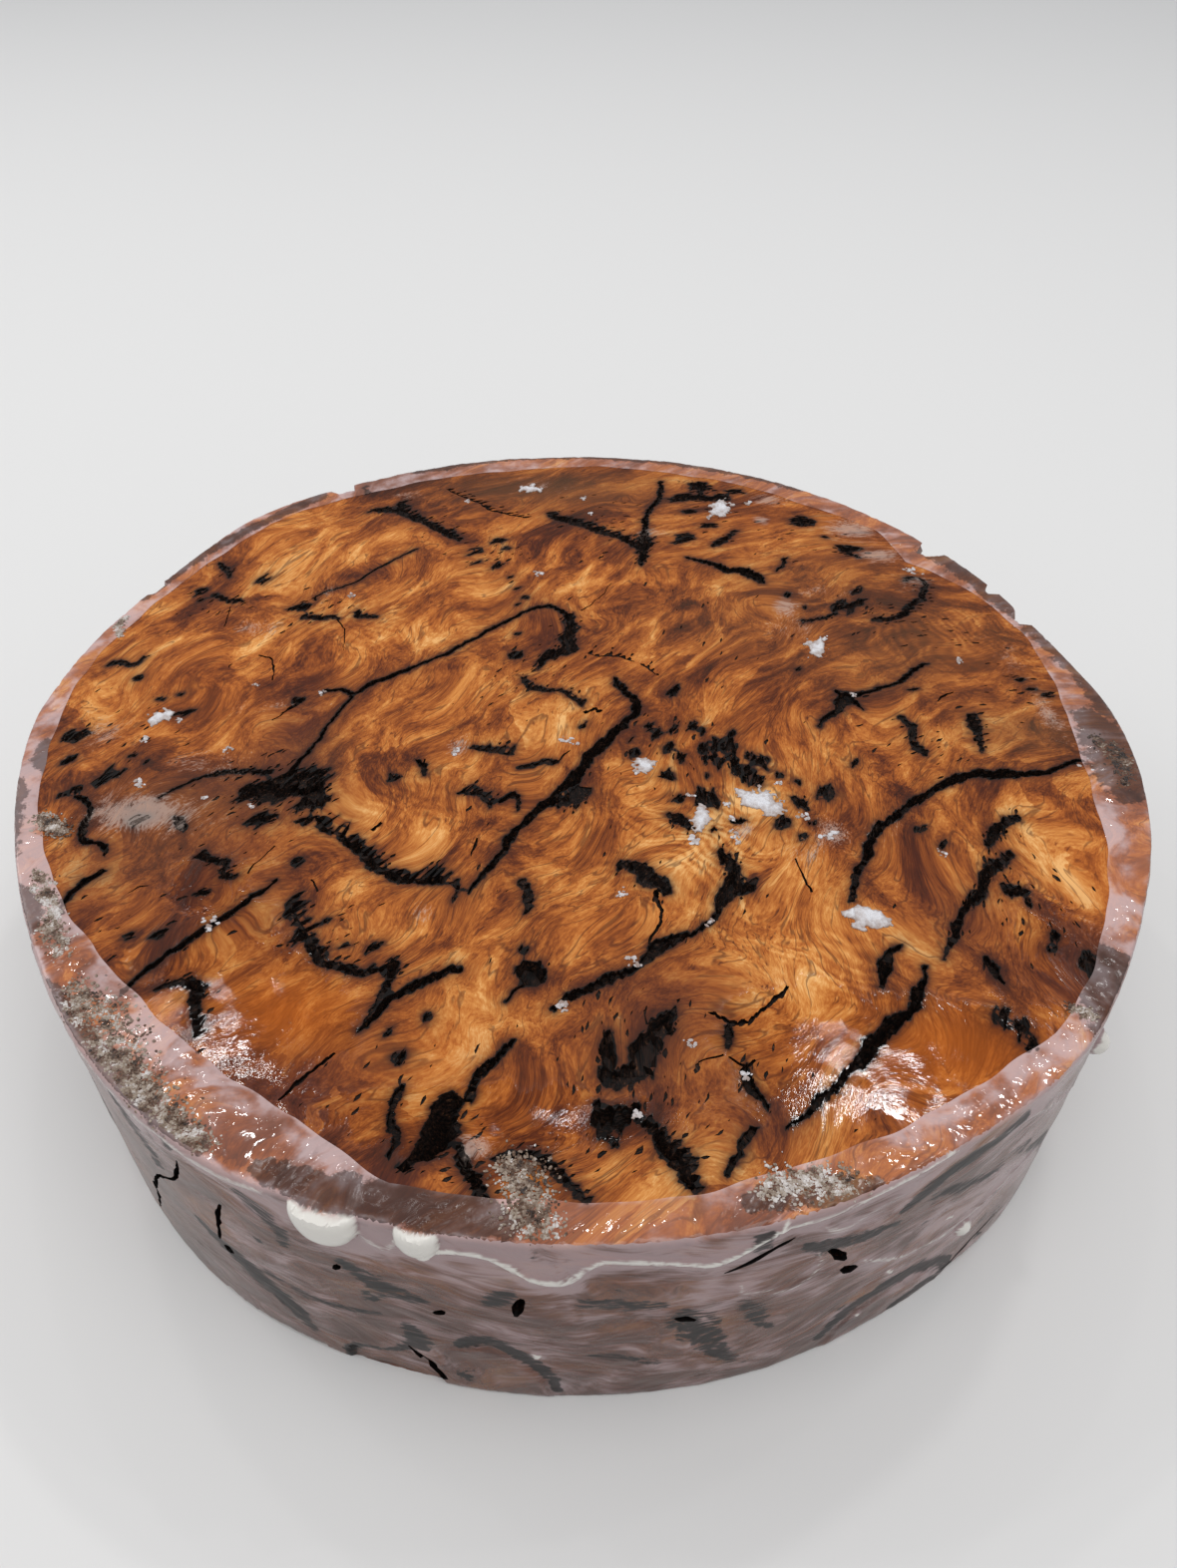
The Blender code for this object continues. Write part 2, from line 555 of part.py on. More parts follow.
def main():
    """Build the blank, its wax and the flakes."""
    clear_scene()
    parts = make_collection("burl_bowl_blank")
    cutters = make_collection("cutters")
    scratch = make_collection("wax_cutters")
    wood = make_material("burl_wood", (0.42, 0.16, 0.055), 0.35)
    wax = make_material("sealing_wax", (0.62, 0.50, 0.44), 0.25)
    flake_wax = make_material("wax_flakes", (0.80, 0.80, 0.80), 0.35)

    blank = rim_slab("burl_blank", parts, 0.0, SLAB_BOTTOM, SLAB_TOP)
    blank.data.materials.append(wood)
    for cut in (cut_middle, cut_left, cut_front, cut_right, cut_back, cut_side):
        cut(cutters)
    boolean(blank, "DIFFERENCE", tools=cutters)

    seal = make_wax_seal(parts, scratch, wax)
    holes = make_collection("wax_holes")
    cut_side(holes)
    boolean(seal, "DIFFERENCE", tools=holes)

    for number, (x, y, long, wide, turn) in enumerate(FLAKES, start=1):
        make_flake(parts, f"wax_flake_{number}", x, y, long, wide, turn, flake_wax)


main()
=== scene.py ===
import math

import bmesh
import bpy
import numpy as np
from mathutils import Matrix, Vector, geometry, noise
from mathutils.kdtree import KDTree


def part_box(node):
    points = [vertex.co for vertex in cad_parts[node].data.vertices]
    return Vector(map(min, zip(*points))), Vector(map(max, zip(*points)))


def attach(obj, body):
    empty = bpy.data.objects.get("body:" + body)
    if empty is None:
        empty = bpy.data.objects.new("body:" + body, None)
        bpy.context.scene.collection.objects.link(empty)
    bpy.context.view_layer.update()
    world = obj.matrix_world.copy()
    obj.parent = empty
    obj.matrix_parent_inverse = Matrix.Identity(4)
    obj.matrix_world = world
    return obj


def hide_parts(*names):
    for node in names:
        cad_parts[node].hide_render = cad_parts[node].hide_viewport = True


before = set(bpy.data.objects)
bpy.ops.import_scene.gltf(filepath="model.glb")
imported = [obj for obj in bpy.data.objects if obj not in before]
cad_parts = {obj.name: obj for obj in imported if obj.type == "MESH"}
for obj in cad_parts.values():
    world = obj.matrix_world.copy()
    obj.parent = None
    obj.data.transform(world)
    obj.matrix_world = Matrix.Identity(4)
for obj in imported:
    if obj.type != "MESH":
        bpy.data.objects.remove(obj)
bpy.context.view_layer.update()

# The view
# A phone held about 28 cm away, looking steeply down on the blank from its front. The lens covers
# the picture's long side, and the place is given from the middle of the sawn face.

MM = 0.001
slab_low, slab_high = (Vector(corner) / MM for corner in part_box("burl_blank"))
FACE = slab_high.z  # height of the sawn face
BACK = slab_low.z  # height of the underside
PICTURE_HEIGHT = 1572
FOCAL_PIXELS = 1181
SENSOR = 36.0
EYE = Vector((0.0, -210.2, FACE + 180.0))
YAW, PITCH, ROLL = (math.radians(turn) for turn in (0.674, 43.543, 0.405))

ahead = Vector((math.sin(YAW) * math.cos(PITCH), math.cos(YAW) * math.cos(PITCH), -math.sin(PITCH)))
level = Vector((math.cos(YAW), -math.sin(YAW), 0.0))
upright = level.cross(ahead)
right = level * math.cos(ROLL) + upright * math.sin(ROLL)
up = upright * math.cos(ROLL) - level * math.sin(ROLL)
lens = bpy.data.cameras.new("view")
lens.sensor_width = SENSOR
lens.lens = FOCAL_PIXELS / PICTURE_HEIGHT * SENSOR
lens.clip_start = 0.01
camera = bpy.data.objects.new("view", lens)
camera.matrix_world = Matrix.Translation(EYE * MM) @ Matrix((right, up, -ahead)).transposed().to_4x4()
bpy.context.scene.collection.objects.link(camera)
bpy.context.scene.camera = camera
bpy.context.scene.view_settings.view_transform = "Standard"

# The burl slab
# One round slab sawn from a burl: swirling orange-brown figure with black bark grown into it, open
# splits along the bark, and a rim that broke away in places. It is sawn, wet with wax and unsanded.

# Outer radius of the sealed blank each 15 degrees, the wax in it, and the broken places of the rim:
# first and last angle, depth, and reach down the side
RIM_RADII = (127.5, 124.2, 125.0, 125.8, 127.0, 127.6, 127.5, 128.2, 129.0, 130.6, 126.5, 126.6, 127.5,
    125.3, 124.8, 126.8, 128.3, 127.1, 127.0, 127.4, 127.4, 128.9, 127.4, 127.8)
COAT = 0.9
RIM_BREAKS = ((35.2, 38.4, 5.0, 30.0), (24.8, 27.0, 2.4, 22.0), (18.4, 21.2, 2.6, 26.0),
    (121.8, 124.6, 2.8, 18.0), (152.6, 155.4, 1.4, 20.0))
BREAK_FALL = 0.25  # degrees over which a broken place reaches its depth
ROUND = 127.0  # radius at which lengths along the side are measured
AROUND = 2 * math.pi * ROUND


def ring_value(values, degrees):
    """Smooth values at some angles, from values spaced evenly round a circle."""
    values = np.asarray(values, float)
    spot = (np.asarray(degrees, float) % 360.0) / 360.0 * len(values)
    index = spot.astype(int)
    t = spot - index
    p0, p1, p2, p3 = (values[(index + k) % len(values)] for k in (-1, 0, 1, 2))
    bend = (2 * p0 - 5 * p1 + 4 * p2 - p3) * t + (3 * p1 - p0 - 3 * p2 + p3) * t * t
    return p1 + 0.5 * t * ((p2 - p0) + bend)


def rim_radius(degrees, z, offset):
    """Radius of the sealed outline moved by offset from the wood, with its broken places."""
    degrees = np.asarray(degrees, float) % 360.0
    radius = ring_value(RIM_RADII, degrees) - COAT + offset
    inset = math.degrees(offset / ROUND)
    for first, last, depth, reach in RIM_BREAKS:
        share = np.minimum(degrees - first - inset, last - inset - degrees) / BREAK_FALL + 1.0
        radius = radius - depth * np.clip(share, 0, 1) * np.clip(1.0 - (FACE - z) / reach, 0, 1)
    return radius


def rim_angles(step):
    """Angles round the rim at a step in degrees, closer at the broken places."""
    angles = set(np.round(np.arange(0, 360, step), 3))
    for first, last, _, _ in RIM_BREAKS:
        angles |= set(np.round(np.arange(first - 0.6, last + 0.6, 0.3), 3))
    return np.array(sorted(angles))


def round_places(degrees, radius, *heights):
    """Places from angles and radii about the slab's middle, with their heights if given."""
    turn = np.radians(degrees)
    return np.column_stack([radius * np.cos(turn), radius * np.sin(turn), *heights])


def smooth_line(points, step):
    """Points at an even step along a smooth curve through given rows of x, y and more."""
    points = np.array(points, float)
    padded = np.vstack([2 * points[0] - points[1], points, 2 * points[-1] - points[-2]])
    pieces = []
    for p0, p1, p2, p3 in zip(padded, padded[1:], padded[2:], padded[3:]):
        count = max(1, math.ceil(np.hypot(*(p2 - p1)[:2]) / step))
        t = np.arange(count)[:, None] / count
        bend = (2 * p0 - 5 * p1 + 4 * p2 - p3) * t ** 2 + (3 * p1 - p0 - 3 * p2 + p3) * t ** 3
        pieces.append(0.5 * (2 * p1 + (p2 - p0) * t + bend))
    return np.vstack(pieces + [points[-1:]])


def ways(curve):
    """Unit vectors along a curve and to its left, at each of its points."""
    along = np.gradient(curve[:, :2], axis=0)
    along /= np.maximum(np.hypot(*along.T), 1e-6)[:, None]
    return along, np.stack([-along[:, 1], along[:, 0]], 1)


def wobble(draw, count, knots):
    """Smooth random run of values from -1 to 1 with about this many points between its knots."""
    coarse = draw.uniform(-1, 1, int(count / knots) + 3)
    return np.interp(np.arange(count) / knots, np.arange(len(coarse)), coarse)


# Direction of the grain on the sawn face, in degrees from +X, at listed places
GRAIN = ((-100, 60, 50), (-60, 80, 45), (-20, 100, 20), (30, 105, 10), (80, 80, 0), (105, 40, -5),
    (60, 45, 55), (25, 45, 80), (-20, 60, 45), (-50, 40, 45), (-90, 20, 45), (-35, 10, 50), (-35, -25, 62),
    (10, 10, 60), (20, -25, 88), (45, -20, 80), (80, 10, 20), (110, 0, 5), (90, -10, 30), (68, -42, 62),
    (104, -48, 110), (85, -75, 75), (45, -62, 60), (20, -60, 70), (0, -45, 60), (-15, -82, 75), (5, -95, 85),
    (40, -95, 70), (-14, -124, 10), (18, -122, 15), (44, -116, 25), (68, -106, 35), (-48, -62, 42),
    (-80, -40, 40), (-105, -20, 60), (-80, -78, 45), (-45, -98, 60), (-112, 20, 60))
GRAIN_PULL = 3.0  # how sharply each place rules its own lobe
FLOW_COUNT, FLOW_HALF = 180, 135.0  # grid of the flow lines: points each way, and how far it reaches
FLOW_PITCH = 2 * FLOW_HALF / FLOW_COUNT


def grain_angle(x, y):
    """Direction of the grain in radians."""
    x, y = np.asarray(x, float), np.asarray(y, float)
    total = np.zeros(x.shape)
    weights = np.zeros(x.shape)
    for px, py, degrees in GRAIN:
        weight = ((x - px) ** 2 + (y - py) ** 2 + 25.0) ** (-GRAIN_PULL / 2 - 0.5)
        total += weight * degrees
        weights += weight
    return np.radians(total / weights)


def flow_fields():
    """Lengths along and across the grain all over the face, as smooth as the grain's turns allow."""
    spots = -FLOW_HALF + FLOW_PITCH * (np.arange(FLOW_COUNT) + 0.5)
    x, y = np.meshgrid(spots, spots, indexing="ij")
    angle = grain_angle(x, y)
    steps = np.arange(FLOW_COUNT)
    waves = np.cos(np.pi * np.outer(steps, steps + 0.5) / FLOW_COUNT) * math.sqrt(2 / FLOW_COUNT)
    waves[0] /= math.sqrt(2)
    slow = 2 * np.cos(np.pi * steps / FLOW_COUNT) - 2
    damping = slow[:, None] + slow[None, :]
    damping[0, 0] = 1.0
    fields = []
    for gx, gy in ((np.cos(angle), np.sin(angle)), (-np.sin(angle), np.cos(angle))):
        gx, gy = gx * FLOW_PITCH, gy * FLOW_PITCH
        between_x = np.pad((gx[1:] + gx[:-1]) / 2, ((1, 1), (0, 0)))
        between_y = np.pad((gy[:, 1:] + gy[:, :-1]) / 2, ((0, 0), (1, 1)))
        source = np.diff(between_x, axis=0) + np.diff(between_y, axis=1)
        spectrum = (waves @ source @ waves.T) / damping
        spectrum[0, 0] = 0.0
        fields.append(waves.T @ spectrum @ waves)
    return fields


FLOW = flow_fields()


def read_flow(x, y):
    """Lengths along and across the grain at some places, between the points of the grid."""
    i, j = (np.clip((value + FLOW_HALF) / FLOW_PITCH - 0.5, 0, FLOW_COUNT - 2) for value in (x, y))
    i0, j0 = i.astype(int), j.astype(int)
    fi, fj = i - i0, j - j0
    lengths = []
    for field in FLOW:
        low = field[i0, j0] * (1 - fj) + field[i0, j0 + 1] * fj
        high = field[i0 + 1, j0] * (1 - fj) + field[i0 + 1, j0 + 1] * fj
        lengths.append(low * (1 - fi) + high * fi)
    return lengths


def turned(points, angle):
    """Flat points turned about the origin."""
    return points @ np.array([(math.cos(angle), math.sin(angle)), (-math.sin(angle), math.cos(angle))])


def spindle(x, y, length, width, angle, draw):
    """Closed outline of a pointed stroke of bark that lies along the grain."""
    steps = np.linspace(-1, 1, max(3, int(length / 0.55) + 1))
    half = width / 2 * (1 - steps ** 2) ** 0.6
    bend = 0.12 * length * draw.uniform(-1, 1) * (1 - steps ** 2)
    left = half * draw.uniform(0.55, 1.3, len(steps)) + bend
    right = -half * draw.uniform(0.55, 1.3, len(steps)) + bend
    run = steps * length / 2
    ends = np.vstack([np.column_stack([run, left]), np.column_stack([run, right])[-2:0:-1]])
    return turned(ends, angle) + (x, y)


def feathered(edge, outward, length, draw, strays):
    """Edge of bark with narrow spikes that run out along the grain, and stray strokes beyond them."""
    points = []
    run = np.concatenate([[0], np.cumsum(np.hypot(*np.diff(edge, axis=0).T))])
    surge = 1.0 + 0.5 * wobble(draw, len(edge), 5)
    steps, _ = ways(edge)
    angles = grain_angle(edge[:, 0], edge[:, 1]) + draw.normal(0, 0.16, len(edge))
    due = draw.uniform(0.2, 1.0)
    for spot, way, side, angle, surge_here, here in zip(edge, steps, outward, angles, surge, run):
        grain = np.array((math.cos(angle), math.sin(angle)))
        lean = grain @ side
        if here < due or abs(lean) < 0.25:
            if here > due - 0.3:
                points.append(spot)
            continue
        due = here + draw.uniform(0.95, 1.9)
        reach = length * surge_here * draw.uniform(0.4, 1.25)
        base = way * draw.uniform(0.42, 0.8)
        tip = spot + grain * math.copysign(reach, lean)
        middle = spot + grain * math.copysign(reach * 0.55, lean) + way * draw.uniform(-0.12, 0.12)
        points += [spot - base, middle - base * 0.75, tip, middle + base * 0.75, spot + base]
        if draw.uniform() < 0.3:
            beyond = tip + grain * math.copysign(draw.uniform(0.6, 1.6), lean)
            strays.append(spindle(*beyond, draw.uniform(1.0, 2.4), draw.uniform(0.45, 0.9), angle, draw))
    return np.array(points) if len(points) > 2 else edge


def split_outlines(line, feathers, sides, seed):
    """Closed outlines of a split from rows of x, y and width, feathered on its left, right or both sides."""
    draw = np.random.default_rng(seed)
    curve = smooth_line(line, 0.55)
    width = np.maximum(curve[:, 2] * (0.58 if feathers else 0.74), 0.2)
    _, normal = ways(curve)
    sway = 0.35 * wobble(draw, len(curve), 6) + 0.18 * wobble(draw, len(curve), 2)
    middle = curve[:, :2] + normal * sway[:, None]
    edges, strays = [], []
    for side in (1, -1):
        reach = width / 2 * (0.95 + 0.55 * wobble(draw, len(curve), 5) + 0.14 * wobble(draw, len(curve), 1.5))
        edge = middle + normal * side * reach[:, None]
        if feathers and side in sides:
            edge = feathered(edge, normal * side, feathers, draw, strays)
        elif width.max() > 0.9:
            edge = feathered(edge, normal * side, 0.2 + 0.2 * width.max(), draw, [])
        edges.append(edge)
    return [np.vstack([edges[0], edges[1][::-1]])] + strays


def patch_outlines(x, y, wide, tall, seed):
    """Closed outlines of a small patch of bark, grown as short strokes along the grain."""
    draw = np.random.default_rng(seed)
    outlines = []
    angle = float(grain_angle(x, y))
    for _ in range(max(3, round(wide * tall / 1.9) + 1)):
        off_x, off_y = draw.uniform(-0.42, 0.42) * wide, draw.uniform(-0.3, 0.3) * tall
        length = max(1.6, 0.9 * max(tall, wide)) * draw.uniform(0.55, 1.2)
        width = draw.uniform(0.4, 0.95) * min(1.25, 0.5 + 0.22 * wide)
        outlines.append(spindle(x + off_x, y + off_y, length, width, angle + draw.normal(0, 0.22), draw))
    return outlines


# Splits of the sawn face: depth, feather length, feathered sides (1 is left of the line), and the
# middle line as x, y and width
LEFT, RIGHT, BOTH, NONE = (1,), (-1,), (1, -1), ()
SPLITS = (
    (9.0, 0, NONE, ((8.7, 17.3, 0.8), (10, 14, 1.4), (12, 11.3, 2.0), (13.7, 8, 2.4), (13.7, 4.7, 2.2),
        (12, 2, 2.2), (10, -1.3, 2.8), (7.3, -5.3, 3.2), (4, -9.3, 3.2), (0, -18, 3.0), (-5.3, -24.3, 3.2),
        (-10.7, -31.3, 2.4), (-13.3, -36, 2.2), (-18.7, -46, 1.5), (-22.7, -52.7, 0.4))),
    (1.2, 1.6, BOTH, ((-6.5, -26, 1.0), (-3, -26.5, 5.5), (0, -25, 7.5), (2.0, -22, 3.0))),
    (6.0, 0, NONE, ((-62, 12, 1.0), (-58, 12.5, 1.2), (-54.5, 11, 1.0), (-52, 13, 1.2), (-49, 15.5, 2.0),
        (-46.5, 17.5, 2.4), (-44, 19.5, 1.4), (-36, 24.5, 1.0), (-28, 31.5, 1.1), (-20, 39, 1.3),
        (-14, 45, 1.1), (-10, 47, 1.0), (-7, 46.8, 0.9), (-4.5, 45, 0.9), (-3, 43, 0.8))),
    (2.0, 1.4, BOTH, ((-2, 44.5, 2.2), (-2.2, 40, 3.4), (-2.4, 34, 4.4), (-3.2, 29, 7.5), (-5.0, 27, 7.0),
        (-8.6, 24.5, 2.6), (-10, 20, 0.7))),
    (0.5, 0, NONE, ((1, 45, 0.5), (5, 50, 0.4), (9, 58, 0.3))),
    (5.0, 0, NONE, ((-54.5, 10.5, 0.8), (-56, 6, 0.8), (-59.5, -5, 0.9), (-62.5, -13, 1.0),
        (-65, -17, 1.4))),
    (5.0, 1.0, RIGHT, ((-68, -17, 1.8), (-73, -17, 1.3), (-80, -17, 1.2), (-86, -20, 1.0), (-92, -25, 0.6))),
    (3.0, 1.2, BOTH, ((-74, -21.5, 3.6), (-68, -22.8, 9.0), (-62, -22.6, 9.5), (-58, -23, 8.0),
        (-55, -26, 3.4))),
    (6.0, 0, NONE, ((-61.3, -49, 0.8), (-64.7, -52.7, 1.7), (-70, -59, 1.9), (-76.7, -66, 2.1),
        (-82, -72, 1.6), (-84, -75.3, 1.2), (-85.3, -79.3, 0.5))),
    (4.0, 0, NONE, ((-97.3, -45.7, 1.4), (-100, -49.3, 1.8), (-102.7, -52.7, 1.6), (-103.3, -58.7, 0.8))),
    (4.0, 0, NONE, ((-98, -42, 1.0), (-100.7, -38.7, 1.4), (-105, -37, 1.6), (-106, -28, 1.4),
        (-110, -24, 0.7))),
    (2.2, 3.1, LEFT, ((-56, -31, 1.0), (-54, -35, 1.8), (-50, -36.5, 2.2), (-46, -41, 2.6), (-42, -45, 2.8),
        (-38, -48.3, 2.8), (-34, -49.3, 2.6), (-30, -49, 2.6), (-26.7, -49.3, 2.2))),
    (1.5, 0.8, LEFT, ((-26, -49.5, 2.0), (-25, -51, 0.8), (-25, -55, 0.4))),
    (2.2, 2.6, BOTH, ((-58, -54, 0.5), (-57, -58, 1.0), (-55, -61, 1.6), (-53, -64, 2.2))),
    (2.2, 1.8, LEFT, ((-53, -64, 2.2), (-51, -67.3, 2.6), (-48.7, -70.7, 2.4), (-44, -72, 2.4),
        (-40.5, -72.7, 2.2), (-36, -71, 1.8))),
    (5.0, 1.0, LEFT, ((-35.3, -69.3, 2.6), (-35.7, -73.3, 2.6), (-36.3, -77.3, 1.8), (-38, -81.3, 1.0),
        (-39.7, -85.7, 0.5))),
    (5.0, 0, NONE, ((-22, -72.3, 0.5), (-24.7, -72, 1.4), (-27.3, -73.7, 2.0), (-30.7, -76, 2.2),
        (-34.7, -78.7, 2.0), (-37.3, -82, 1.6), (-39.7, -85.7, 0.6))),
    (8.0, 0, NONE, ((115, -12.5, 0.8), (110, -14.7, 1.4), (106, -17, 1.8), (100, -18, 2.4),
        (96.7, -17.7, 3.2), (92, -17.6, 3.6), (86.7, -18.7, 3.0), (81.3, -21, 2.4), (77.3, -23.3, 2.3),
        (73.3, -26.7, 2.8), (70, -30, 2.6), (66.7, -32.7, 2.2), (63.3, -36.7, 2.6), (60.7, -42, 2.3),
        (57.7, -46.5, 1.6), (55.7, -51.3, 1.3), (54.7, -55.3, 0.9))),
    (8.0, 0, NONE, ((66.3, -70.7, 0.5), (65.3, -74.7, 1.0), (63.3, -78.7, 2.4), (60.7, -82, 3.2),
        (56.7, -85.3, 3.4), (53.3, -88.7, 3.2), (50, -92.7, 2.8), (46.7, -96, 1.8), (43.5, -98.7, 1.6),
        (40.7, -100.7, 2.0), (38, -104, 1.2), (35.3, -105.7, 0.6))),
    (2.5, 1.3, BOTH, ((90.7, -42, 1.6), (86.7, -45.3, 2.6), (84, -48, 4.2), (82.7, -52, 3.0),
        (79.3, -54.7, 2.6), (76.7, -58, 3.6), (74.7, -61.3, 3.0), (72, -66, 1.8), (70.3, -70, 0.7))),
    (3.0, 0.9, BOTH, ((86, -51, 3.0), (88.5, -52, 4.2), (91, -52.5, 2.2))),
    (9.0, 0, NONE, ((62.6, -66, 0.6), (60, -68.7, 2.4), (58.7, -72, 3.2), (56.7, -76.5, 1.0))),
    (8.0, 0, NONE, ((30, 70.7, 0.4), (35.3, 68.7, 1.4), (38.7, 66, 2.4), (42.7, 64, 3.4), (46, 62.5, 3.4),
        (48.7, 60.7, 2.4), (50, 58.3, 0.8))),
    (6.0, 0, NONE, ((24.7, 112.7, 0.9), (25.3, 108.7, 1.2), (24.7, 104, 1.3), (22.7, 100, 1.3),
        (21, 96, 1.4), (19.7, 90.7, 1.5), (19, 85.3, 1.8), (19.4, 82, 2.6))),
    (3.0, 1.2, BOTH, ((19, 83.5, 2.0), (18.6, 79, 4.4), (18.2, 75, 5.0), (17.6, 70, 3.4), (17, 67, 1.0))),
    (2.0, 1.0, LEFT, ((12, 82, 0.8), (14, 80, 1.6), (15.5, 77, 1.8))),
    (1.6, 2.4, LEFT, ((-9, 94.6, 1.2), (-5.3, 91.3, 3.0), (-1.3, 89.3, 3.2), (1.3, 87.3, 3.0),
        (5.3, 84.7, 2.6), (9.3, 82.7, 2.2), (12, 80.7, 1.8), (14.7, 78.7, 1.4), (16.7, 74.7, 0.8))),
    (0.8, 1.8, LEFT, ((-40, 108, 0.5), (-31, 101, 0.8), (-27, 97, 1.2), (-22.7, 94.7, 0.9),
        (-16, 91.5, 0.6))),
    (1.6, 2.2, LEFT, ((-52.7, 101.3, 1.0), (-52, 96, 3.2), (-49.3, 92.7, 3.2), (-46, 90.5, 2.6),
        (-40.7, 85.3, 2.4), (-36, 81.3, 2.2), (-33.3, 79.3, 1.2))),
    (1.6, 1.4, BOTH, ((-61, 96, 1.6), (-57, 95.6, 2.8), (-52, 95, 2.6))),
    (2.0, 0.8, BOTH, ((-98.7, 68, 1.0), (-96, 64, 1.5), (-94.5, 61, 0.8))),
    (3.0, 0.8, BOTH, ((-96, 52, 0.8), (-92.5, 50, 2.6), (-89.3, 49.3, 1.0))),
    (0.6, 0, NONE, ((-91.3, 47, 0.4), (-91, 38, 0.3))),
    (1.2, 0, NONE, ((-70, 50, 0.8), (-68.7, 52.7, 0.6), (-60, 58.7, 0.7), (-55.3, 64.7, 0.6),
        (-45.3, 75.3, 0.5))),
    (2.5, 1.0, BOTH, ((-72.5, 42.6, 1.2), (-68, 42, 2.6), (-64, 42.3, 1.8), (-62.7, 41.3, 0.7))),
    (0.8, 0, NONE, ((-62.7, 41.3, 0.6), (-60.7, 38, 0.5), (-59.7, 33.3, 0.4), (-58.7, 28, 0.3))),
    (2.0, 0.9, LEFT, ((-57.6, 45.5, 0.8), (-57, 42.8, 2.0), (-53, 42, 1.0))),
    (0.8, 0, NONE, ((-80, 26, 0.7), (-76, 24, 1.0), (-75, 20, 0.9), (-74.5, 16, 0.5))),
    (0.9, 0, NONE, ((-66.5, 7.5, 1.8), (-69, 4.5, 0.8), (-72, 1, 0.4))),
    (1.2, 0.9, BOTH, ((-116.7, 22.3, 0.8), (-113.3, 23.3, 1.5), (-110, 22.7, 1.4), (-108.2, 25.6, 0.8))),
    (2.0, 0.8, BOTH, ((-79.5, -41.5, 3.0), (-76, -43.5, 2.4), (-72.7, -45, 1.6), (-72.3, -48, 1.4),
        (-70, -48.7, 0.8))),
    (0.6, 0, NONE, ((-64, -39.3, 0.5), (-68, -47.3, 0.5))),
    (0.6, 0, NONE, ((-54.7, -49, 0.4), (-52.7, -52.3, 0.7))),
    (0.6, 0, NONE, ((-90.7, -52.7, 0.4), (-89, -50.6, 0.6), (-87.3, -50.3, 0.4))),
    (1.4, 0, NONE, ((-86, -30.7, 1.0), (-85.4, -33, 2.2), (-83.6, -34.9, 0.8))),
    (2.4, 1.7, LEFT, ((-80, -77, 0.7), (-76, -75.3, 1.8), (-72, -76, 3.0), (-71, -80, 2.4),
        (-70, -83.3, 2.6), (-69, -86.5, 1.2))),
    (0.9, 0, NONE, ((-43.3, -90, 0.5), (-46, -93.3, 1.0), (-49.3, -96.7, 1.2), (-52, -100, 0.5))),
    (1.0, 2.6, LEFT, ((-25, -8.8, 0.5), (-23.3, -9.3, 1.1), (-19.3, -10, 1.3), (-14.7, -11, 1.2))),
    (2.0, 0.9, LEFT, ((-14, -15.6, 0.5), (-11, -14.8, 1.8), (-8, -13.5, 2.4), (-5.3, -14.1, 1.6))),
    (0.4, 0, NONE, ((-5, -13.5, 0.5), (-3.4, -11.6, 0.6), (-2, -9.6, 0.4))),
    (1.6, 2.2, LEFT, ((-26.6, -23.6, 0.6), (-22.7, -24, 1.6), (-20.7, -25.3, 2.4), (-19.3, -28.4, 1.6))),
    (2.0, 0, NONE, ((-17.4, -27.4, 0.6), (-16.4, -26, 1.6), (-14.4, -24.5, 2.0), (-13, -26, 1.4),
        (-13, -29, 0.6))),
    (0.8, 0, NONE, ((-22.3, -42.6, 0.5), (-22, -40, 1.1), (-21.2, -37.4, 0.5))),
    (1.2, 0, NONE, ((-36.6, -12.4, 0.4), (-35.4, -14.6, 1.4), (-34.3, -17.5, 0.6))),
    (0.8, 0, NONE, ((-34.4, -12.6, 0.4), (-35.2, -14.8, 0.8))),
    (0.9, 0, NONE, ((-42, -32.2, 0.6), (-44.2, -35, 1.3))),
    (0.7, 1.6, LEFT, ((2.3, 26.6, 0.4), (5.3, 26, 0.9), (10, 25, 1.0), (14, 23.4, 0.7))),
    (0.5, 0.8, LEFT, ((15.4, 22.4, 0.5), (17.4, 20.6, 0.8), (19.3, 18, 0.4))),
    (1.0, 1.3, LEFT, ((-13.7, 17.3, 0.9), (-12.7, 14, 1.4), (-8.7, 12, 1.2), (-4, 11.7, 0.9),
        (-1.3, 9.3, 1.2), (1.3, 6.3, 1.1))),
    (0.8, 0, NONE, ((1.0, 3.8, 0.6), (3.4, 4.4, 1.6), (5.6, 4.2, 0.5))),
    (2.0, 1.2, LEFT, ((18, -18.4, 0.8), (19.4, -18.0, 2.4), (21.2, -18.8, 1.0))),
    (2.0, 1.0, RIGHT, ((19, -30.6, 1.0), (21, -31.4, 3.0), (23.4, -33.4, 3.4), (24.6, -35.6, 1.6))),
    (1.0, 0, NONE, ((32.4, -32.2, 0.6), (34.4, -32.7, 1.6), (36.2, -32.6, 0.5))),
    (1.6, 1.0, BOTH, ((46.6, -24.6, 1.0), (48.2, -26.6, 3.0), (49.6, -28.6, 1.0))),
    (0.6, 0, NONE, ((44.7, -43.5, 0.5), (46, -47, 0.5), (47.3, -52.7, 0.8))),
    (2.2, 0, NONE, ((-5.3, -81.3, 0.8), (-1.3, -78, 1.6), (2.7, -76, 2.0), (6.7, -74, 1.8), (10, -72.3, 1.0),
        (12, -70, 1.2), (14.7, -66.7, 2.8), (17.3, -65.3, 2.8), (22, -63.3, 1.2), (25.3, -61, 1.0),
        (27.3, -58.7, 1.2), (28, -56, 1.6))),
    (2.6, 1.1, BOTH, ((28, -57, 1.4), (30, -53.3, 4.6), (31.6, -50.7, 6.4), (32.4, -47.3, 4.6),
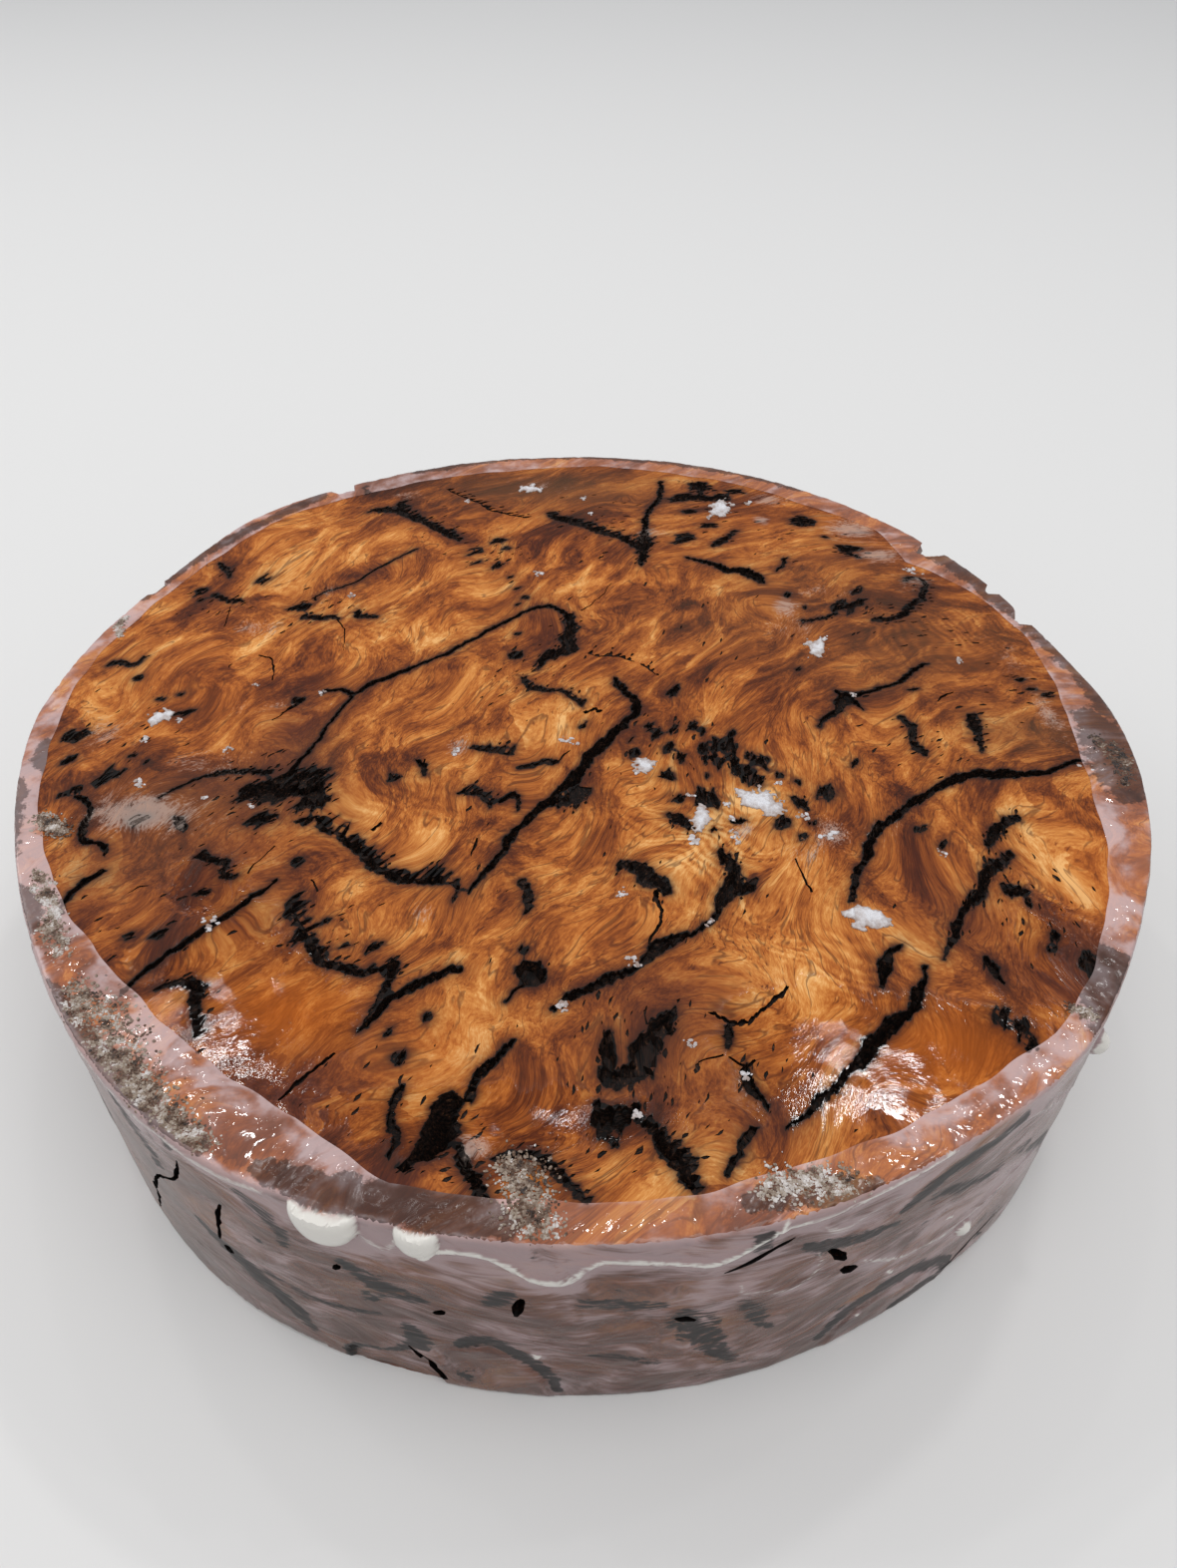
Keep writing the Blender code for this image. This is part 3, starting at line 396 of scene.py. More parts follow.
        (31.3, -44, 3.4), (29.3, -41, 0.8))),
    (2.0, 0.8, BOTH, ((32.6, -52.4, 2.0), (34.6, -50.8, 3.0), (36.4, -48.6, 1.0))),
    (1.8, 1.5, RIGHT, ((8, -45.6, 1.4), (11, -45, 3.8), (14, -47.3, 6.0), (16.4, -50, 6.0), (18, -53, 3.0))),
    (0.9, 0, NONE, ((16.4, -52, 1.8), (15.6, -54, 1.3), (16.3, -59, 1.0), (14.8, -63, 0.8),
        (13.5, -66, 0.6))),
    (1.2, 1.4, LEFT, ((-11.8, -49.4, 1.0), (-10.3, -52, 2.6), (-9.8, -55, 2.6), (-11, -58.4, 0.8))),
    (2.6, 0.9, BOTH, ((-9, -69.4, 4.6), (-9.1, -72.7, 7.6), (-9.4, -75.8, 4.6))),
    (1.2, 0, NONE, ((-10, -75, 1.0), (-12, -77.4, 0.8), (-13.5, -79.6, 0.4))),
    (2.4, 1.0, BOTH, ((18.5, -81.2, 1.6), (16.4, -83.2, 5.0), (14, -86.4, 8.6), (12.6, -90.0, 9.0),
        (13, -93.6, 4.4))),
    (2.2, 0.9, BOTH, ((5.3, -85.6, 1.4), (5.0, -89, 4.4), (4.8, -92.6, 5.4), (4, -96.0, 3.6))),
    (1.8, 0, NONE, ((3.6, -96.2, 2.4), (8.7, -95.4, 4.0), (12.6, -93.4, 4.2))),
    (0.9, 1.0, LEFT, ((12, -81.4, 0.6), (12, -84.6, 1.4))),
    (3.4, 0, NONE, ((1.8, -102.6, 2.2), (4, -103.2, 5.6), (7, -103.4, 6.4), (10.2, -102.4, 2.6))),
    (3.0, 1.5, LEFT, ((11.0, -104.2, 2.0), (13.2, -107.2, 3.4), (15.3, -110, 3.2), (17.7, -114, 2.4),
        (19, -117.5, 1.0))),
    (1.6, 0, NONE, ((30.2, -104.8, 1.2), (28, -108, 2.0), (26, -111.3, 1.4), (24.5, -114.6, 0.7))),
    (1.6, 0, NONE, ((29.3, -92.6, 1.0), (30, -96.7, 2.2), (32, -100, 1.6), (32.6, -102.6, 0.6))),
    (0.9, 0, NONE, ((26.8, -91.4, 0.5), (29.4, -93.2, 1.0), (31.6, -92.5, 0.5))),
    (0.9, 0, NONE, ((24, -82, 0.5), (27.3, -84, 1.4), (31.3, -84, 1.0), (34, -81.3, 1.0), (38, -78, 1.1),
        (38.9, -76, 0.5))),
    (1.2, 0, NONE, ((27.2, -84.4, 0.8), (27.6, -87, 1.9), (26.6, -89.8, 0.9))),
    (0.6, 0, NONE, ((21.3, -92.7, 0.5), (26, -91.3, 0.8))),
    (1.4, 0, NONE, ((-30.3, -96.6, 0.7), (-31.7, -100, 1.4), (-32.3, -104, 1.4), (-30.9, -106.7, 1.3),
        (-32, -111, 0.6))),
    (3.4, 0, NONE, ((-19.3, -101, 1.8), (-18.7, -96.7, 2.2), (-16, -93.3, 2.0), (-14, -90.7, 1.6),
        (-11.5, -87.6, 0.5))),
    (7.0, 1.0, RIGHT, ((-20.6, -98.8, 3.2), (-22.8, -102, 7.4), (-23.6, -106, 8.0), (-25.4, -109.8, 5.6),
        (-29.6, -113.4, 3.0))),
    (3.0, 0, NONE, ((-19.6, -108.6, 1.6), (-19.3, -112, 2.4), (-17.3, -115.3, 2.2), (-15.3, -118.7, 1.2))),
    (1.2, 1.7, LEFT, ((-14.7, -111.3, 0.6), (-10, -110.7, 1.6), (-6.7, -111.3, 2.0), (-4, -113.7, 1.8),
        (-0.7, -117.3, 1.5), (1.3, -119.8, 0.8))),
    (2.0, 0, NONE, ((87, 22.7, 0.6), (84, 20.7, 1.2), (81.3, 18, 1.3), (78.7, 15.3, 1.3), (74.7, 13.3, 1.2),
        (71.3, 11.7, 1.4), (68, 11.0, 1.6), (64.7, 8.9, 4.2), (62.9, 6.2, 3.0), (61.3, 4, 2.2),
        (58.7, 2, 1.6), (56, -1.3, 0.6))),
    (2.0, 0, NONE, ((62.2, 12, 0.7), (64.6, 9, 2.0), (67.5, 5, 0.6))),
    (1.2, 0.8, BOTH, ((76, 2.4, 0.9), (78.2, -1.3, 2.2), (77.3, -7, 1.2), (79.3, -11, 2.2))),
    (1.8, 1.0, LEFT, ((92.2, 3.6, 1.2), (92.8, 0, 4.0), (93, -3, 3.0), (92.7, -10.4, 0.6))),
    (0.7, 0, NONE, ((86, 8, 0.4), (88, 9.7, 0.9), (91, 11.2, 0.4))),
    (1.4, 0.9, BOTH, ((58, 40.4, 2.2), (60.7, 41, 1.0), (64, 42, 0.7), (68, 44, 0.6))),
    (1.8, 0.8, BOTH, ((76, 41, 1.0), (80, 41.3, 2.4), (84, 42.7, 2.0), (86.7, 45.3, 2.8), (88, 47.3, 2.0),
        (90.7, 50, 2.8), (92.7, 53.3, 2.2), (94, 57.3, 1.2), (93.3, 59.8, 0.5))),
    (1.0, 0, NONE, ((57.7, 70.7, 1.8), (56.7, 67.3, 1.2), (54.3, 64, 0.6))),
    (1.6, 0.8, BOTH, ((73, 77, 1.4), (75.6, 74, 3.2), (78.3, 71, 1.0))),
    (1.6, 0.8, BOTH, ((37, 112.7, 1.6), (36.9, 109, 2.6), (36.7, 105, 1.8))),
    (1.6, 1.2, BOTH, ((37.3, 75.3, 0.9), (40.7, 79.3, 2.6), (44.9, 84.2, 1.0))),
    (2.4, 1.2, BOTH, ((86, -40.4, 1.2), (89, -36, 3.6), (92.6, -32.6, 2.6), (95.4, -31.4, 0.8))),
    (1.6, 0, NONE, ((77.8, -69.6, 1.0), (79, -72.5, 2.4), (80.2, -75.6, 0.8))),
)

# Small patches of bark: x, y, width and height
PATCHES = ((16.3, -1.7, 2.5, 3), (18, -4.2, 2, 4), (20.7, -8.7, 2, 4), (23.3, -12.3, 3, 3), (22.7, -2, 2, 3),
    (26.7, -1.9, 2, 4), (29, -3.5, 1.5, 3), (28.7, -9.3, 2.5, 4), (29.7, -12.4, 3, 3), (31.3, -8.7, 2, 5),
    (34.3, -8.4, 3, 6), (35.3, -3.8, 2, 3), (34, -14.3, 5, 3), (36.7, -16.4, 4, 3), (39.3, -12, 2, 4),
    (41.7, -13.3, 3, 4), (38.7, -19.5, 5, 2.5), (28.7, -18, 1.2, 2.5), (12.7, -10.7, 3, 2.5),
    (12.3, -6, 1.5, 2), (28.2, -25.2, 6, 3.6), (43, -33, 5, 2), (22.7, -25.3, 3, 1), (45.3, -18, 2, 1.6),
    (50, -33, 1.6, 1.4), (47.7, -37, 1.6, 1.8), (49.3, -20.3, 1.8, 1.4), (62.3, -14, 2, 3),
    (-41.3, -18.7, 3, 2.2), (-39.5, -66.7, 3, 2.4), (-45.3, -66, 1.2, 2.2), (-62.7, 106.7, 4, 3),
    (-28.7, 74, 1.8, 5), (-28, 68, 1.6, 2.4), (-22, 79.3, 4, 2), (-20.3, 75.3, 2, 2), (-21, 66.6, 4.4, 1.6),
    (-18, 60.7, 2.2, 1.6), (-16, 55.3, 1.8, 1.4), (-14, 51.3, 1.8, 1.2), (-16, 48, 1.4, 1.2),
    (-85, 59.7, 2.2, 4.4), (-100.7, 54, 2, 4), (-99.7, 50.3, 2, 1.4), (-97, 52.3, 1.6, 2), (-64, -20, 12, 5),
    (-70.6, -24, 7, 4), (-58, -26, 6, 5), (-72.7, 46.9, 5, 3.6), (-66.7, 8.6, 3.4, 2.6),
    (-107.3, 16.7, 2, 2.4), (-116.4, -4.7, 5, 2.5), (-115, -12.7, 2, 4), (-110.3, -22.6, 3, 2.4),
    (-113.3, -24, 2, 2), (-105.3, -18.7, 1.2, 6), (-102.3, -16.7, 0.9, 4), (-100, 8.7, 1.6, 1.2),
    (-95.7, 10.7, 1.2, 1.6), (-93.3, 3.7, 4, 1.4), (-97.3, -13.3, 1.6, 1.2), (-101.3, -11.3, 1.4, 1),
    (-94.3, -32, 4, 3), (-67.3, -31.9, 6, 2.4), (-58.5, -31.9, 3.6, 2.4), (-58.3, -44, 2, 2.8),
    (-50, -60, 1.8, 1.4), (-87.7, -63.7, 2, 2.4), (-82, -63.3, 4, 2.6), (-76.3, -52.3, 3, 2),
    (23, 12, 4.4, 1.6), (23, 12, 1.4, 4.4), (-15.3, 26.2, 3.4, 2.4), (1.3, -1.3, 1.1, 3),
    (-16, 34.7, 2, 1.4), (29, -35, 1.4, 1.2), (54, -23.6, 5, 1.6), (-10.3, -67.2, 2.4, 1.6),
    (6, -108.2, 2.2, 1.6), (-32.3, -91.7, 3, 2.6), (-34.3, -86, 2, 2), (-27.7, -82.6, 2.6, 1.2),
    (60.4, 46.6, 1.8, 1.4), (54.7, 20.3, 1.8, 1.8), (81.3, 12.5, 2.2, 1.0), (110, 12, 2.4, 1.8),
    (109.3, 16.3, 3, 1.4), (113.6, 10.7, 2.4, 2.6), (74, 54.3, 4, 1.4), (56, 52.7, 1.8, 2.8),
    (64, 91.3, 3, 5), (70.3, 81.3, 1.8, 1.8), (90, 60, 2.8, 2.8), (33.3, 103, 8, 5.6), (41, 103, 6, 4.6),
    (47, 106.5, 4, 3), (36.4, 110, 3, 6), (65.6, 89, 4, 6), (76.6, 75, 5, 3.4), (32, 95, 4, 2.6),
    (44, 104, 2.2, 2.2), (30, 81.3, 2.2, 7.4), (38, 87.3, 3.4, 2.4), (90.5, -55.5, 1.6, 3),
    (93, -64.3, 3, 2.6), (91.7, -67.5, 2, 1.4), (78, -83, 2.8, 4), (80.5, -86, 2.5, 4.6),
    (82, -89.4, 3, 2.2), (76.5, -39, 1.4, 3), (73, -35, 3, 1.4), (99, -71, 6, 5), (102, -76, 4, 6),
    (71, 47, 7, 3.4), (76, 49, 4, 2.4))

# Where fine flecks of bark gather: x, y, reach and how many
FLECKS = ((22, -10, 14, 46), (-15, 20, 12, 26), (-24, 72, 10, 22), (5, 92, 16, 26), (-44, 92, 12, 18),
    (-95, 50, 14, 24), (-70, 46, 10, 14), (-108, 0, 16, 34), (-72, -30, 14, 22), (-84, -58, 16, 26),
    (-46, -62, 12, 14), (12, -90, 16, 26), (9, -90, 9, 16), (4, -83, 8, 12), (11, -100, 9, 20),
    (-22, -112, 9, 30), (32, -96, 9, 18), (38, 104, 9, 40), (-70, -22, 12, 40), (-64, -30, 10, 24),
    (-30, -95, 12, 20), (86, -56, 14, 24), (80, -5, 14, 20), (108, 14, 9, 22), (82, 45, 14, 34),
    (66, 80, 18, 26), (40, 98, 12, 24), (34, 30, 20, 16), (0, 40, 60, 30), (0, -60, 60, 40),
    (95, -60, 14, 18), (-10, -112, 10, 14), (97, 38, 10, 18))
FLECKS_WITHIN = 118  # flecks stay so near the middle of the face
PATCH_SEED, FLECK_SEED = 500, 77
SPLIT_WALL, FEATHER_WALL = 1.2, 0.35  # depth of the walls of plain and of feathered splits
STRAY_PIT, PATCH_PIT, FLECK_PIT = (0.25, 0.3), (0.3, 1.2), (0.2, 0.2)  # wall and floor depth


def face_outlines():
    """Outlines of all the bark and splits of the sawn face, each with its wall and floor depth."""
    outlines = []
    for number, (depth, feathers, sides, line) in enumerate(SPLITS):
        main, *strays = split_outlines(line, feathers, sides, number)
        outlines.append((main, min(FEATHER_WALL if feathers else SPLIT_WALL, depth), depth))
        outlines += [(stray, *STRAY_PIT) for stray in strays]
    for number, patch in enumerate(PATCHES):
        outlines += [(outline, *PATCH_PIT) for outline in patch_outlines(*patch, PATCH_SEED + number)]
    draw = np.random.default_rng(FLECK_SEED)
    for x, y, reach, count in FLECKS:
        for _ in range(count):
            spot = draw.normal(0, 0.55 * reach, 2) + (x, y)
            angle = float(grain_angle(*spot)) + draw.normal(0, 0.15)
            length = draw.uniform(0.7, 2.6)
            outline = spindle(*spot, length, length * draw.uniform(0.18, 0.4), angle, draw)
            if np.hypot(*spot) < FLECKS_WITHIN:
                outlines.append((outline, *FLECK_PIT))
    return outlines


BLOCK = 4000  # points tested at a time, to spare memory
SAME_SPOT = 0.0005  # points closer than this become one
PIT_SLOPE = 3.0  # how steeply the floor of a pit falls away from its walls


def inside(points, outline):
    """Which points lie inside a closed outline, by its winding number."""
    x1, y1 = outline.T
    x2, y2 = np.roll(outline, -1, axis=0).T
    result = np.zeros(len(points), bool)
    for start in range(0, len(points), BLOCK):
        x, y = np.hsplit(points[start:start + BLOCK], 2)
        left = (x2 - x1) * (y - y1) - (x - x1) * (y2 - y1)
        rising = (y1 <= y) & (y2 > y) & (left > 0)
        falling = (y1 > y) & (y2 <= y) & (left < 0)
        result[start:start + BLOCK] = rising.sum(1) != falling.sum(1)
    return result


def boxed(points, low, high):
    """Indexes of the points between two corners."""
    return np.flatnonzero(((points > low) & (points < high)).all(1))


def distances(points, others):
    """Distance of each point to the nearest of some others."""
    tree = KDTree(len(others))
    for index, (x, y) in enumerate(others):
        tree.insert((x, y, 0.0), index)
    tree.balance()
    return np.array([tree.find((x, y, 0.0))[2] for x, y in points])


def join_points(points, edges):
    """Triangles between points, with some edges given, and the points as they are then numbered."""
    points = [Vector(point) for point in points]
    spots, _, faces, _, _, _ = geometry.delaunay_2d_cdt(points, edges, [], 0, SAME_SPOT, False)
    return np.array([tuple(spot) for spot in spots]), np.array(faces)


def triangulate(border, outlines, fill, clearance=0.3):
    """Triangles over the region inside a border, with every outline as edges of the mesh."""
    loops = [border] + list(outlines)
    fixed = np.vstack(loops)
    fill = fill[distances(fill, fixed) > clearance]
    edges = []
    start = 0
    for loop in loops:
        count = len(loop)
        edges += [(start + index, start + (index + 1) % count) for index in range(count)]
        start += count
    spots, faces = join_points(np.vstack([fixed, fill]), edges)
    return spots, faces[inside(spots[faces].mean(1), border)]


def pit_levels(spots, faces, pits):
    """Wall and floor depth of each triangle: zero on the surface, and more inside a pit's outline."""
    centres = spots[faces].mean(1)
    wall = np.zeros(len(faces))
    floor = np.zeros(len(faces))
    for outline, wall_depth, floor_depth in pits:
        near = boxed(centres, outline.min(0), outline.max(0))
        hit = near[inside(centres[near], outline)]
        wall[hit] = np.maximum(wall[hit], wall_depth)
        floor[hit] = np.maximum(floor[hit], floor_depth)
    return wall, floor


def three_edges(faces):
    """The edges of each triangle, in its own direction round it."""
    return [edge for a, b, c in faces.tolist() for edge in ((a, b), (b, c), (c, a))]


def edge_walls(edges, count):
    """Triangles that stand between some edges and the same edges among points numbered so much higher."""
    return [wall for a, b in edges for wall in ((b, a, a + count), (b, a + count, b + count))]


def without_spare(places, faces):
    """Which places some triangles use, and the triangles numbered anew for those alone."""
    used = np.unique(faces)
    index = np.full(len(places), -1)
    index[used] = np.arange(len(used))
    return used, index[faces]


def carve(border, pits, fill, clearance=0.3):
    """Surface with pits sunk into it: flat places, depths, triangles, and which triangles are bark."""
    spots, faces = triangulate(border, [pit[0] for pit in pits], fill, clearance)
    wall, floor = pit_levels(spots, faces, pits)
    sunk = wall > 0
    count = len(spots)
    sunk_edges = set(three_edges(faces[sunk]))
    shore_edges = [edge for edge in three_edges(faces[~sunk]) if edge[::-1] in sunk_edges]
    walls = edge_walls(shore_edges, count)
    shore = np.unique(shore_edges)
    depth = np.full(count, np.inf)
    np.minimum.at(depth, faces[sunk].ravel(), np.repeat(wall[sunk], 3))
    deepest = np.zeros(count)
    np.maximum.at(deepest, faces[sunk].ravel(), np.repeat(floor[sunk], 3))
    deep = np.setdiff1d(faces[sunk], shore)
    away = distances(spots[deep], spots[shore])
    depth[deep] = np.minimum(deepest[deep], depth[deep] + away * PIT_SLOPE)
    depth[np.isinf(depth)] = 0.0
    every = np.vstack([spots, spots])
    used, triangles = without_spare(every, np.vstack([faces[~sunk], faces[sunk] + count, walls]))
    bark = np.concatenate([np.zeros((~sunk).sum()), np.ones(sunk.sum() + len(walls))])
    return every[used], np.concatenate([np.zeros(count), depth])[used], triangles, bark


def scatter(low, high, pitch, seed):
    """Uneven grid of points over a rectangle."""
    draw = np.random.default_rng(seed)
    x, y = np.meshgrid(np.arange(low[0], high[0], pitch), np.arange(low[1], high[1], pitch * 0.87))
    x = x + (np.arange(x.shape[0]) % 2)[:, None] * pitch / 2
    spots = np.stack([x.ravel(), y.ravel()], 1)
    return spots + draw.uniform(-0.22, 0.22, spots.shape) * pitch


# Zones of the sawn face: x, y, reach across, reach along y, strength
ZONES = {
    "tone": ((-50, 38, 26, 16, 0.7), (-10, 5, 13, 10, 0.6), (27, -35, 24, 22, 0.75), (85, -8, 14, 8, 0.5),
        (102, -47, 12, 14, 0.28), (-25, -84, 11, 12, 0.5), (-8, -96, 10, 8, -0.3), (-70, 70, 24, 14, 0.35),
        (65, 75, 14, 10, 0.3), (-35, -30, 14, 16, 0.25), (40, -75, 14, 10, 0.4), (0, -66, 16, 10, 0.3),
        (-8, 107, 34, 12, -0.55), (106, -4, 16, 9, -0.6), (10, -90, 13, 14, -0.38),
        (-75, -45, 16, 14, -0.35), (-66, 2, 9, 14, -0.6), (45, 20, 18, 10, -0.45), (30, 45, 14, 14, -0.35),
        (92, 35, 22, 13, -0.5), (75, 47, 14, 8, -0.7), (68, -44, 12, 16, -0.5), (-88, -60, 14, 14, -0.4),
        (-50, -97, 14, 12, -0.45), (-105, -20, 14, 14, -0.3), (98, -74, 10, 14, -0.6),
        (40, 100, 16, 10, -0.5), (-52, 95, 14, 9, -0.3), (0, 32, 10, 12, -0.4), (66, 8, 10, 8, -0.3),
        (-98, 52, 14, 12, -0.3), (-30, 108, 14, 8, -0.3), (14, -88, 7, 8, -0.5), (-60, -106, 16, 8, -0.35),
        (-30, -118, 18, 8, -0.5), (-56, -68, 14, 10, 0.3), (32, -63, 16, 8, 0.5), (6, -115, 12, 8, 0.3),
        (-100, -64, 8, 14, -0.4), (66, -90, 12, 7, -0.45), (0, -76, 14, 5, -0.5), (-4, 74, 20, 12, -0.2),
        (60, -76, 10, 7, -0.4), (-23, -115.4, 3.4, 3.0, 1.0), (-16.7, -109.3, 2.8, 2.6, 0.8)),
    "plum": ((10, -91, 12, 14, 0.45), (-50, -98, 16, 11, 0.7), (-74, -46, 14, 14, 0.5),
        (-60, -66, 12, 14, 0.15), (-66, -4, 8, 16, 0.6), (-85, -20, 12, 7, 0.5), (-100, -48, 10, 14, 0.5),
        (98, -74, 12, 14, 0.6), (20, -78, 16, 8, 0.45), (30, -102, 12, 10, 0.5), (74, -60, 10, 12, 0.4),
        (-12, 46, 5, 8, 0.4), (-28, -117, 16, 7, 0.9), (-62, -62, 10, 8, 0.3), (-23, -115.4, 3.4, 3.0, -1.0),
        (-66, -25, 14, 10, 0.6), (-16.7, -109.3, 2.8, 2.6, -0.8)),
    "amber": ((-54, -82, 12, 8, 1.0), (66, -90, 18, 9, 1.0), (-25, -92, 12, 12, 0.5),
        (108, -50, 9, 16, 0.4), (28, -10, 14, 12, 0.25), (-95, 8, 12, 12, 0.35), (-50, 38, 16, 12, 0.2),
        (98, 30, 14, 14, 0.3)),
    "dull": ((-8, 108, 36, 12, 0.9), (106, -3, 16, 9, 0.8), (94, 34, 24, 16, 0.65), (40, 40, 26, 18, 0.4),
        (70, 62, 24, 14, 0.4), (-88, -42, 12, 12, 0.4), (75, 20, 20, 12, 0.35), (-85, -25, 18, 10, 0.6),
        (-62, -12, 10, 10, 0.5), (14, -90, 10, 12, 0.3)),
    "ripple": ((27, -38, 14, 14, 1.0), (-45, -30, 12, 12, 0.4), (-50, 36, 14, 10, 0.4),
        (92, 34, 20, 12, 0.9), (50, -72, 14, 10, 0.5)),
    "haze": ((-17.2, -109.2, 3.2, 2.8, 1.1), (78, 86, 9, 6, 1.0), (84, 72, 8, 5, 0.9), (92, 58, 7, 5, 0.6),
        (56, 102, 6, 4, 0.9), (53.4, 90, 3, 3, 0.9), (54.6, 47, 4, 5, 0.9), (35, -35, 4, 4, 0.7),
        (54, -36, 4, 5, 0.9), (-3, -6, 3, 3, 0.6), (-95, -29, 6, 6, 0.8), (66, 54, 7, 4, 0.5),
        (56, 36, 9, 6, 0.5), (-83, 38, 8, 5, 0.7), (-27.7, -9, 4, 4, 0.8), (-84, -14, 10, 5, 0.6),
        (-86, -31, 12, 7, 0.55), (-74, 6, 12, 4, 0.4), (-66, 54, 5, 4, 0.5), (-52, 104, 8, 4, 0.5),
        (-14, 110, 12, 6, 0.5), (20, 84, 8, 3, 0.5), (46, -42, 6, 5, 0.5), (66, -36, 5, 6, 0.5),
        (-30, -58, 5, 3, 0.5), (112, 2, 4, 10, 0.7), (108, 24, 4, 12, 0.5), (104, -66, 5, 8, 0.5),
        (-110, -4, 8, 10, 0.5), (-104, -30, 6, 8, 0.5)),
    "wet": ((-58, -84, 18, 12, 1.0), (64, -92, 22, 14, 1.0), (38, -86, 16, 14, 0.7),
        (-66, -72, 16, 16, 0.6), (-75, -48, 16, 14, 0.5), (92, -62, 14, 22, 0.5), (-20, -104, 30, 10, 0.5),
        (0, -104, 50, 8, 0.3)),
}
# Small knots, which the grain rings: x, y, reach across and along y, and how clearly
KNOTS = ((-75, -53, 4.6, 4.6, 0.8), (-16.7, -109.3, 3.6, 3.2, 0.7), (15, 103, 6, 5, 0.6),
    (102, -47, 7, 10, 0.28), (-23, -115, 4, 3.4, 0.6))
# Where the side reads the pattern of the figure, well away from the face's part of it
SIDE_GRAIN = (400, 150)
# Painted shade falls on the wood beside bark that goes at least this deep
DARKENING = 1.0  # bark that goes at least so deep darkens the wood beside it


def zone(name, x, y):
    """Strength of one kind of zone at some places, each zone fading from its middle."""
    total = np.zeros(np.shape(x))
    for cx, cy, wide, tall, strength in ZONES[name]:
        total += strength * np.exp(-((x - cx) / wide) ** 2 - ((y - cy) / tall) ** 2)
    return np.clip(total, -1, 1)


def face_figure(x, y, edge):
    """What the grain and the colours do at places on the sawn face, so far from the nearest bark."""
    along, across = read_flow(x, y)
    for knot_x, knot_y, wide, tall, clear in KNOTS:
        turn = np.arctan2((y - knot_y) / tall, (x - knot_x) / wide)
        away = np.hypot((x - knot_x) / wide, (y - knot_y) / tall) * (1 + 0.14 * np.sin(3 * turn + knot_x))
        share = np.clip(1.5 - away, 0, 1) * clear
        knot_along, knot_across = read_flow(np.array([float(knot_x)]), np.array([float(knot_y)]))
        along = along * (1 - share) + share * (3.0 * np.cos(turn) + knot_along)
        across = across * (1 - share) + share * (away * (wide + tall) / 2 + knot_across)
    # Painted shade: dark close to the deeper bark and splits, and faint further out
    painted_bark_shade = 0.76 * np.exp(-edge / 0.8) + 0.24 * np.exp(-edge / 4.5)
    return {"along": along, "across": across, "painted_bark_shade": painted_bark_shade, **{name: zone(name, x, y) for name in ZONES}}


def bark_distance(spots, pits):
    """Distance of each spot to the nearest bark that goes deep enough to put painted shade on the wood beside
    it.
    """
    return distances(spots, np.vstack([outline for outline, _, depth in pits if depth >= DARKENING]))


def lumps(places, size, shift):
    """Smooth lumps from -1 to 1, about so many millimetres across, at places in space."""
    move = Vector((shift, -shift, 2 * shift))
    return np.array([noise.noise(Vector(place) / size + move) for place in places])


def side_figure(s, z):
    """What the grain and the colours do at places on the sawn side, measured round it and up."""
    turn = 2 * np.pi * s / AROUND
    places = np.column_stack([ROUND * np.cos(turn), ROUND * np.sin(turn), z])
    return {"along": s + 9 * lumps(places, 44, 6.2) + SIDE_GRAIN[0],
            "across": z + 16 * lumps(places, 70, 3.3) + 6 * lumps(places, 26, 8.1) + SIDE_GRAIN[1],
            "tone": -0.25 + 0.5 * lumps(places, 34, 1.7),
            "plum": 0.5 + 0.6 * lumps(places, 28, 5.3),
            "dull": 0.3 + 0.5 * lumps(places, 30, 9.9)}


def set_stops(elements, stops):
    """Give a ramp its places and colours."""
    while len(elements) < len(stops):
        elements.new(0.5)
    for element, (place, shade) in zip(elements, stops):
        element.position = place
        element.color = shade


